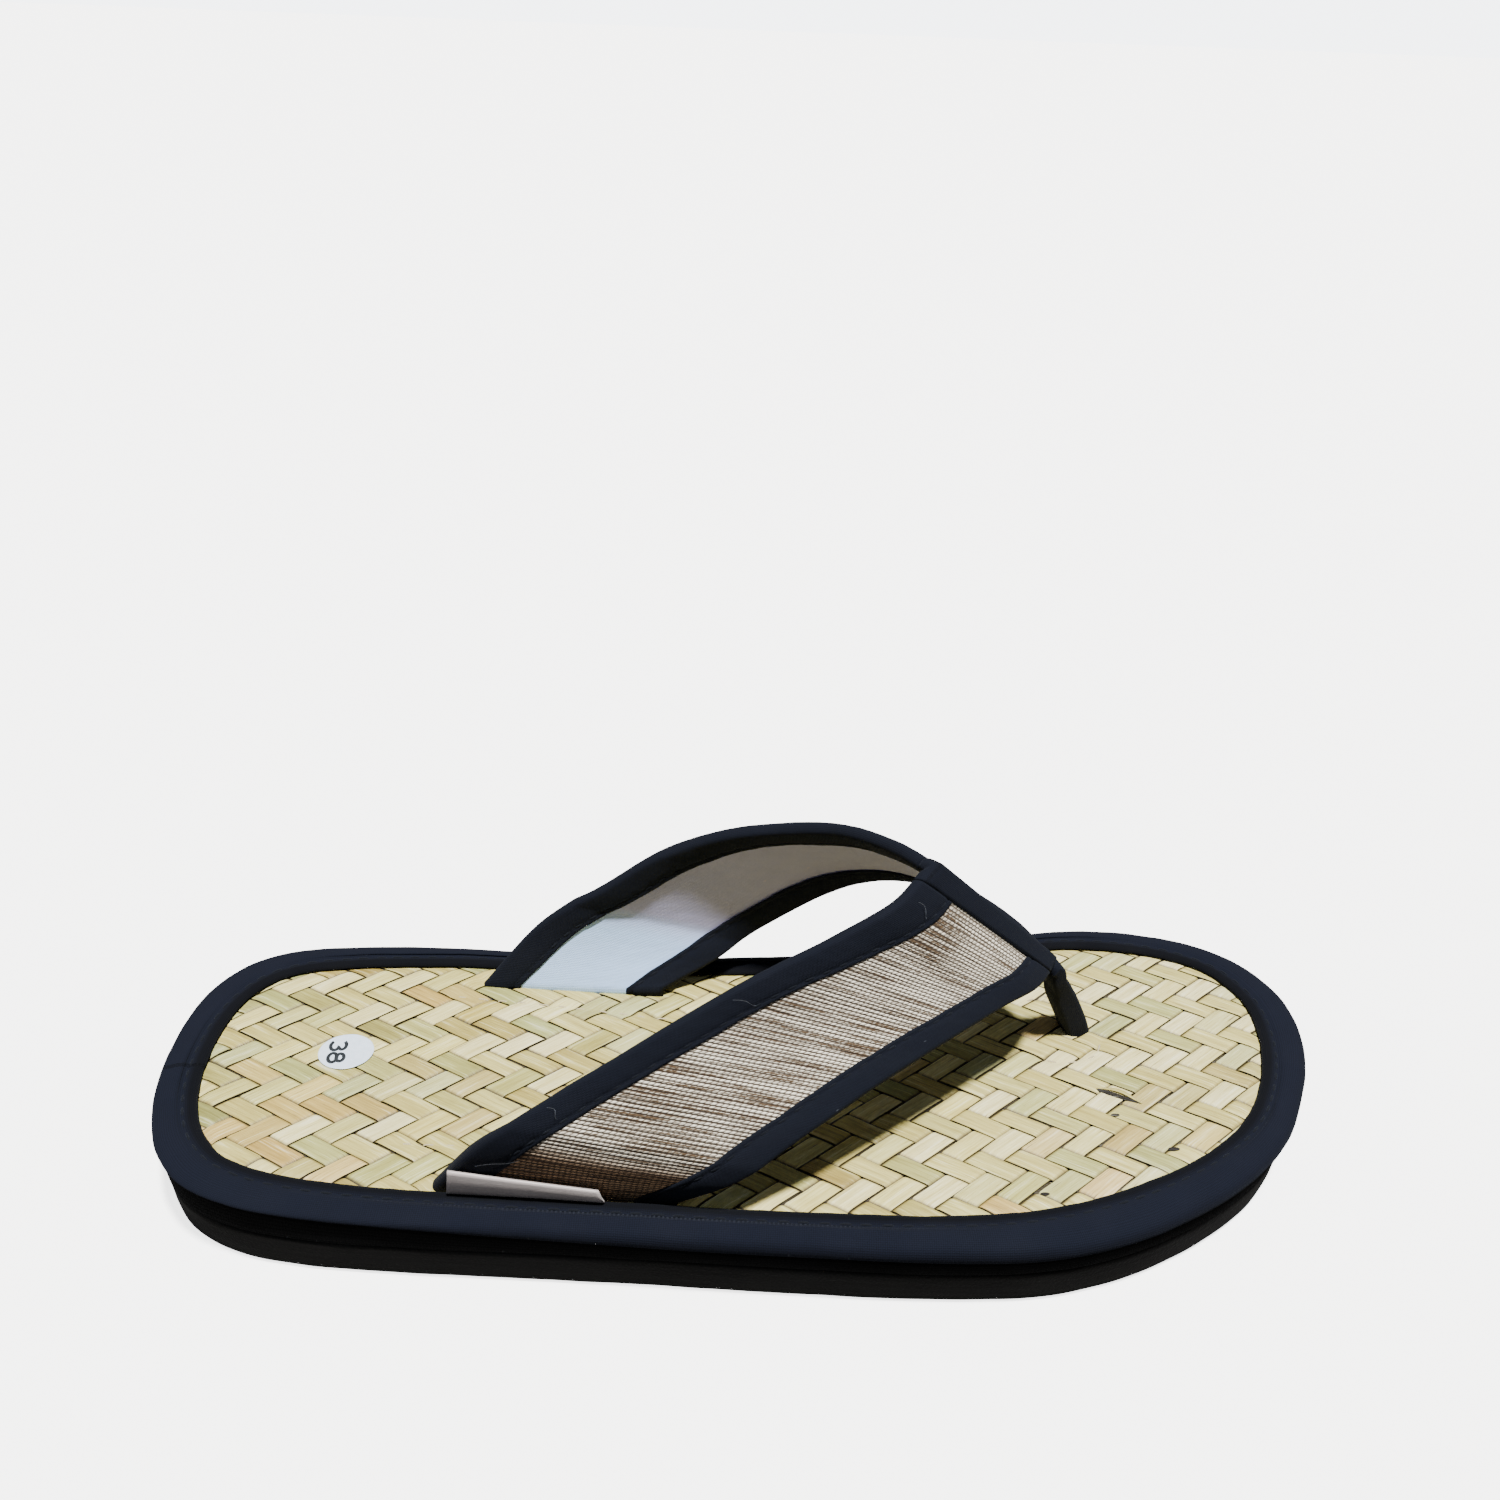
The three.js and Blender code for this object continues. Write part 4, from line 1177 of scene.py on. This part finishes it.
def build_tape(name, node, edge, start, end, seed, widest=0.0):
    """Edge binding over one edge of one wing.

    edge is 1 for the rear edge and -1 for the front one, and widest is how many mm it widens by upward.
    """
    u = np.linspace(start, end, 150)
    run = strap_runs(u)
    wobble = 0.22 * wave(run, seed, 5, 40)
    swell = 0.07 * wave(run, seed + 1, 6, 26)
    pucker = 0.5 + 0.5 * np.cos(2 * math.pi * run / 3.9)
    widths = TAPE_WIDTH + wobble + widest * smoothstep(u, 0.5, 0.93)
    rows, place = [], []
    for k, width in enumerate(widths):
        s, t = np.array(tape_section(width)).T
        near_seam = np.exp(-((s - (width - SEAM_IN)) / 1.1) ** 2)
        outer = t < STRAP_THICK / 2
        t = t + np.where(outer, -1, 1) * (swell[k] + 0.08 * near_seam * (pucker[k] - 0.5))
        rows.append(strap_points(np.full(len(s), u[k]), np.maximum(s, 0.001) * edge, t))
        place.append(tape_place(run[k], np.stack([s, t], 1), seed))
    ends = (0,) if start == 0 else (-1,)
    rows, place = with_feet(np.array(rows), np.array(place), MAT_TOP - 0.7, ends)
    piece = lofted(name, rows, navy_tape, "navy_cloth", place)
    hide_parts(node)
    seam = widths - SEAM_IN
    for label, depth in (("face", 0.20), ("lining", STRAP_THICK - 0.18)):
        line = strap_points(u, seam * edge, np.full(len(u), depth))
        deeper = strap_points(u, seam * edge, np.full(len(u), STRAP_THICK / 2))
        shown = line[:, 2] > MAT_TOP + 0.8
        stitches(f"{name}_{label}_stitches", line[shown], (line - deeper)[shown], 2.6, 1.3, 0.5, thread,
                 "navy_cloth", seed=seed + len(label))


def build_ridge_tape():
    """The tape over the ridge, folded round both edges."""
    u = np.linspace(1 - RIDGE_OUTER_SIDE, 1 + RIDGE_INNER_SIDE, 15)
    back = STRAP_THICK
    bow = 0.35 * np.clip(1 - ((u - u.mean()) / (u[-1] - u.mean())) ** 2, 0, 1)
    rows, place = [], []
    for k, value in enumerate(u):
        wide = float(strap_width(np.array([value]))[0])
        lanes = np.linspace(1.7, wide - 1.7, 26)
        top = [(s, -0.25 - bow[k]) for s in lanes]
        fold = [(1.0, 0.08), (0.4, 0.38), (0.05, 0.95), (0.0, 1.6),
                (0.05, 2.25), (0.4, 2.82), (1.0, 3.12), (1.7, back)]
        front = [(wide - s, t) for s, t in fold]
        rear = [(s, t) for s, t in fold[::-1]]
        under = [(s, back + 0.1) for s in np.linspace(wide - 2.6, 2.6, 20)]
        section = np.array(top + front + under + rear)
        s, t = np.clip(section[:, 0], 0.001, None), section[:, 1]
        rows.append(strap_points(np.full(len(section), value), s, t))
        place.append(tape_place(k * 0.7, section, 3.0))
    piece = lofted("ridge_tape", rows, navy_tape, "navy_cloth", place)
    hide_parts("ridge_binding")


def build_post():
    """The toe post: a tape folded in two, turning as it goes down into the mat."""
    foot = np.array([POST_CENTRE[0], POST_CENTRE[1], MAT_TOP])
    start, back = strap_points(np.ones(2), np.array([-0.001, -6.0]), np.full(2, STRAP_THICK / 2))
    lead = (start - back) / np.linalg.norm(start - back)
    centres = [start - lead * 1.2, start + lead * 0.5] + [foot + np.array(row[:3]) for row in POST_PATH]
    thickness = [STRAP_THICK, STRAP_THICK] + [row[3] for row in POST_PATH]
    line = smooth_line(np.c_[centres, thickness], False, np.linspace(0, 1, 60))
    turns = np.linspace(0, 2 * math.pi, 40, endpoint=False)
    c, s = np.cos(turns), np.sin(turns)
    shape = np.stack([3.4 * np.sign(c) * np.abs(c) ** 0.34, 0.485 * np.sign(s) * np.abs(s) ** 0.34], 1)
    rows, place = [], []
    run = run_along(line[:, :3])
    for k in range(len(line)):
        ahead = line[min(k + 1, len(line) - 1), :3] - line[max(k - 1, 0), :3]
        ahead /= np.linalg.norm(ahead)
        beside = np.array([-math.sin(POST_TURN), math.cos(POST_TURN), 0.0])
        beside -= ahead * (beside @ ahead)
        beside /= np.linalg.norm(beside)
        through = np.cross(beside, ahead)
        outline = shape * np.array([1.0, line[k, 3]])
        rows.append(line[k, :3] + outline[:, :1] * beside + outline[:, 1:] * through)
        place.append(tape_place(run[k], outline, 5.0))
    piece = lofted("post_tape", rows, navy_tape, "navy_cloth", place)
    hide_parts("toe_post")


LINT = [  # share along the strap, mm in from its rear edge, length in mm, turn from the edge's square
    (0.075, 3.0, 7.0, 0.5),
    (0.21, 1.5, 4.5, -0.3),
    (0.53, 2.0, 5.0, 0.1),
    (0.90, 3.0, 5.5, -0.4),
    (0.60, 26.0, 4.5, 0.6),
]


def build_lint():
    """A few pale hairs that cling to the strap's tapes."""
    for number, (share, inward, length, turn) in enumerate(LINT):
        rows = []
        for step in np.linspace(0, 1, 14):
            aside = inward + length * math.cos(turn) * step
            ahead = share + (length * math.sin(turn) * step + 0.5 * math.sin(5.0 * step)) / 110.0
            off = 0.45 + 0.5 * math.sin(math.pi * step)
            middle = strap_points(ahead, np.array([aside]), -off)[0]
            rows.append(middle + 0.045 * np.array([[-1, 0, 0], [0, 0, 1], [1, 0, 0], [0, 0, -1]]))
        lofted(f"loose_hair_{number}", rows, hair, "navy_cloth")


# Label and sticker.

def label_point(share, inward, off):
    """A point off the outer wing's face, which may lie past its rear edge."""
    first, second = strap_points(share, np.array([2.0, 4.0]), -off)
    return first + (second - first) * (inward - 2.0) / 2.0


def build_label():
    """Blank folded ribbon sewn in at the outer wing's foot, over the rim's inner edge."""
    share = np.linspace(0, 1, 40)
    top_u = 0.062 - 0.008 * share
    wide = strap_width(top_u)
    top_in = -1.3 + (wide - 20.5 + 1.3) * share
    base_in = 3.0 + (wide - 15.0 - 3.0) * share
    rows, place = [], []
    for k in range(len(share)):
        top = label_point(top_u[k], top_in[k], 0.8)
        base = label_point(0.005, base_in[k], 1.0)
        foot_height = 17.3 + 0.2 * math.sin(3.0 * share[k])
        line = []
        for step in np.linspace(0, 1, 9):
            point = base + (top - base) * step
            point[2] = foot_height + (top[2] - foot_height) * step
            point[1] -= 0.5 + 0.9 * math.sin(math.pi * step) * 0.5 + 0.5 * (1 - step)
            line.append(point)
        line = np.array(line)
        behind = line[::-1] + np.array([0.0, 0.55, 0.0])
        rows.append(np.vstack([line, behind]))
        across = np.r_[np.linspace(0, 7, 9), np.linspace(7, 0, 9)]
        place.append(np.stack([np.full(18, base_in[k]), across, np.ones(18)], 1))
    piece = lofted("ribbon_label", rows, satin, "satin", place)
    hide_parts("side_label")


def sticker_height(x, y):
    """The sticker follows the weave a little and lifts at one side."""
    dx, dy = x - STICKER_CENTRE[0], y - STICKER_CENTRE[1]
    lift = 0.10 * smoothstep(0.7 * dx - 0.7 * dy, 3.5, 6.2)
    return WEAVE_TOP + 0.06 + 0.04 * np.sin(1.1 * dx) * np.sin(1.3 * dy) + lift


def build_sticker():
    turns = np.linspace(0, 2 * math.pi, 72, endpoint=False)
    radii = [0.0, 1.5, 3.0, 4.4, 5.4, 5.9, STICKER_RADIUS]
    rows = []
    for thick in (0.12, 0.0):
        chosen = radii[1:] if thick else radii[:0:-1]
        for radius in chosen:
            x = STICKER_CENTRE[0] + radius * np.cos(turns)
            y = STICKER_CENTRE[1] + radius * np.sin(turns)
            rows.append(np.stack([x, y, sticker_height(x, y) + thick], 1))
    place = np.array(rows) - np.array([STICKER_CENTRE[0], STICKER_CENTRE[1], 0])
    piece = lofted("paper_sticker", rows, paper, "paper", place)
    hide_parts("size_sticker")
    build_number()


def arc(cx, cy, rx, ry, start, end, count=26):
    a = np.radians(np.linspace(start, end, count))
    return np.stack([cx + rx * np.cos(a), cy + ry * np.sin(a)], 1)


def build_number():
    """The plain number 38, read across the slipper from the inner to the outer side, tops toward the toe."""
    three = np.vstack([arc(0, 2.55, 1.15, 0.85, 155, -80), arc(0, 0.9, 1.3, 0.95, 80, -155)[1:]])
    eight = [arc(0, 2.55, 1.05, 0.85, -90, 270), arc(0, 0.9, 1.3, 0.95, 90, 450)]
    strokes = [(three, -1.75)] + [(line, 1.75) for line in eight]
    half = 0.40
    points, faces = [], []
    for line, shift in strokes:
        line = evenly(np.c_[line[:, 0] + shift, line[:, 1] - 1.9, np.zeros(len(line))], 48)
        ahead = np.gradient(line[:, :2], axis=0)
        ahead /= np.linalg.norm(ahead, axis=1)[:, None]
        side = np.stack([-ahead[:, 1], ahead[:, 0]], 1) * half
        base = len(points)
        for across in (-1, 1):
            flat = line[:, :2] + across * side
            x = STICKER_CENTRE[0] - 1.7 + flat[:, 1]
            y = STICKER_CENTRE[1] - 1.2 * flat[:, 0]
            points += np.stack([x, y, sticker_height(x, y) + 0.15], 1).tolist()
        count = len(line)
        faces += [[base + i, base + i + 1, base + count + i + 1, base + count + i] for i in range(count - 1)]
    face_up(make_piece("sticker_number", points, faces, ink, "paper", points, outward=False))


# Camera, lights and floor.

CAMERA_PLACE = (-36.2, -260.3, 232.9)
CAMERA_PITCH = math.radians(27.23)
CAMERA_ROLL = math.radians(2.38)
CAMERA_TURN = math.atan2(0.1167, 0.9932)


def build_camera():
    pitch, roll, turn = CAMERA_PITCH, CAMERA_ROLL, CAMERA_TURN
    c, s = math.cos(turn), math.sin(turn)
    forward = Vector((s * math.cos(pitch), c * math.cos(pitch), -math.sin(pitch)))
    right = Vector((c, -s, 0))
    above = Vector((s * math.sin(pitch), c * math.sin(pitch), math.cos(pitch)))
    across = right * math.cos(roll) + above * math.sin(roll)
    upward = above * math.cos(roll) - right * math.sin(roll)
    turned = Matrix((across, upward, -forward)).transposed().to_4x4()
    camera = put_in_scene("camera", bpy.data.cameras.new("camera"))
    camera.matrix_world = Matrix.Translation(Vector(CAMERA_PLACE) * MM) @ turned
    camera.data.sensor_width = 36
    camera.data.lens = 36
    camera.data.clip_start = 0.01
    bpy.context.scene.camera = camera


def add_lamp(name, kind, power, colour, ahead):
    """A lamp that shines along a direction."""
    light = bpy.data.lights.new(name, kind)
    light.energy = power
    light.color = colour
    lamp = put_in_scene(name, light)
    lamp.rotation_euler = Vector(ahead).to_track_quat("-Z", "Y").to_euler()
    return lamp


AMBIENT = 0.10  # light from all round
SKY_SEEN = 5.6  # how bright the camera sees the ground behind


def build_stage():
    mesh = bpy.data.meshes.new("floor")
    reach = 8.0
    corners = [(x * reach, y * reach, 0) for x, y in ((-1, -1), (1, -1), (1, 1), (-1, 1))]
    mesh.from_pydata(corners, [], [(0, 1, 2, 3)])
    material, tree, shader, _ = start_material("pale_floor", 0.9, specular=0.1)
    seen = tree.nodes.new("ShaderNodeLightPath").outputs["Is Camera Ray"]
    link(tree, blend(tree, seen, (0.12, 0.12, 0.12, 1), (0.9, 0.9, 0.9, 1)), shader.inputs["Base Color"])
    shader.inputs["Emission Color"].default_value = (1.0, 1.0, 1.0, 1)
    link(tree, times(tree, seen, 3.0), shader.inputs["Emission Strength"])
    mesh.materials.append(material)
    floor = put_in_scene("floor", mesh)
    floor.location.z = -0.0002
    world = bpy.data.worlds.new("studio")
    world.use_nodes = True
    sky = world.node_tree.nodes["Background"]
    sky.inputs["Color"].default_value = (0.93, 0.96, 1.0, 1)
    seen = world.node_tree.nodes.new("ShaderNodeLightPath").outputs["Is Camera Ray"]
    link(world.node_tree, ramp(world.node_tree, seen, 0, 1, AMBIENT, SKY_SEEN), sky.inputs["Strength"])
    bpy.context.scene.world = world
    key = add_lamp("overhead", "SUN", 9.6, (1.0, 0.985, 0.955), (-0.075, 0.23, -1.0))
    key.data.angle = math.radians(6)
    fill = add_lamp("left_fill", "AREA", 2.2, (0.82, 0.91, 1.0), (1.2, 0.8, -0.9))
    fill.data.shape = "DISK"
    fill.data.size = 1.0
    fill.location = (-1.2, -0.8, 0.9)


build_camera()
build_foam_sole()
build_board_cover()
build_rim()
build_rim_stitches()
build_footbed()
build_strap()
build_tape("outer_rear_tape", "binding_outer_rear", 1, 0, OUTER_TAPE_END, 41, 2.0)
build_tape("outer_front_tape", "binding_outer_front", -1, 0, OUTER_TAPE_END, 43)
build_tape("inner_rear_tape", "binding_inner_rear", 1, INNER_TAPE_START, 2, 45)
build_tape("inner_front_tape", "binding_inner_front", -1, INNER_TAPE_START, 2, 47)
build_ridge_tape()
build_post()
build_lint()
build_label()
build_sticker()
build_stage()
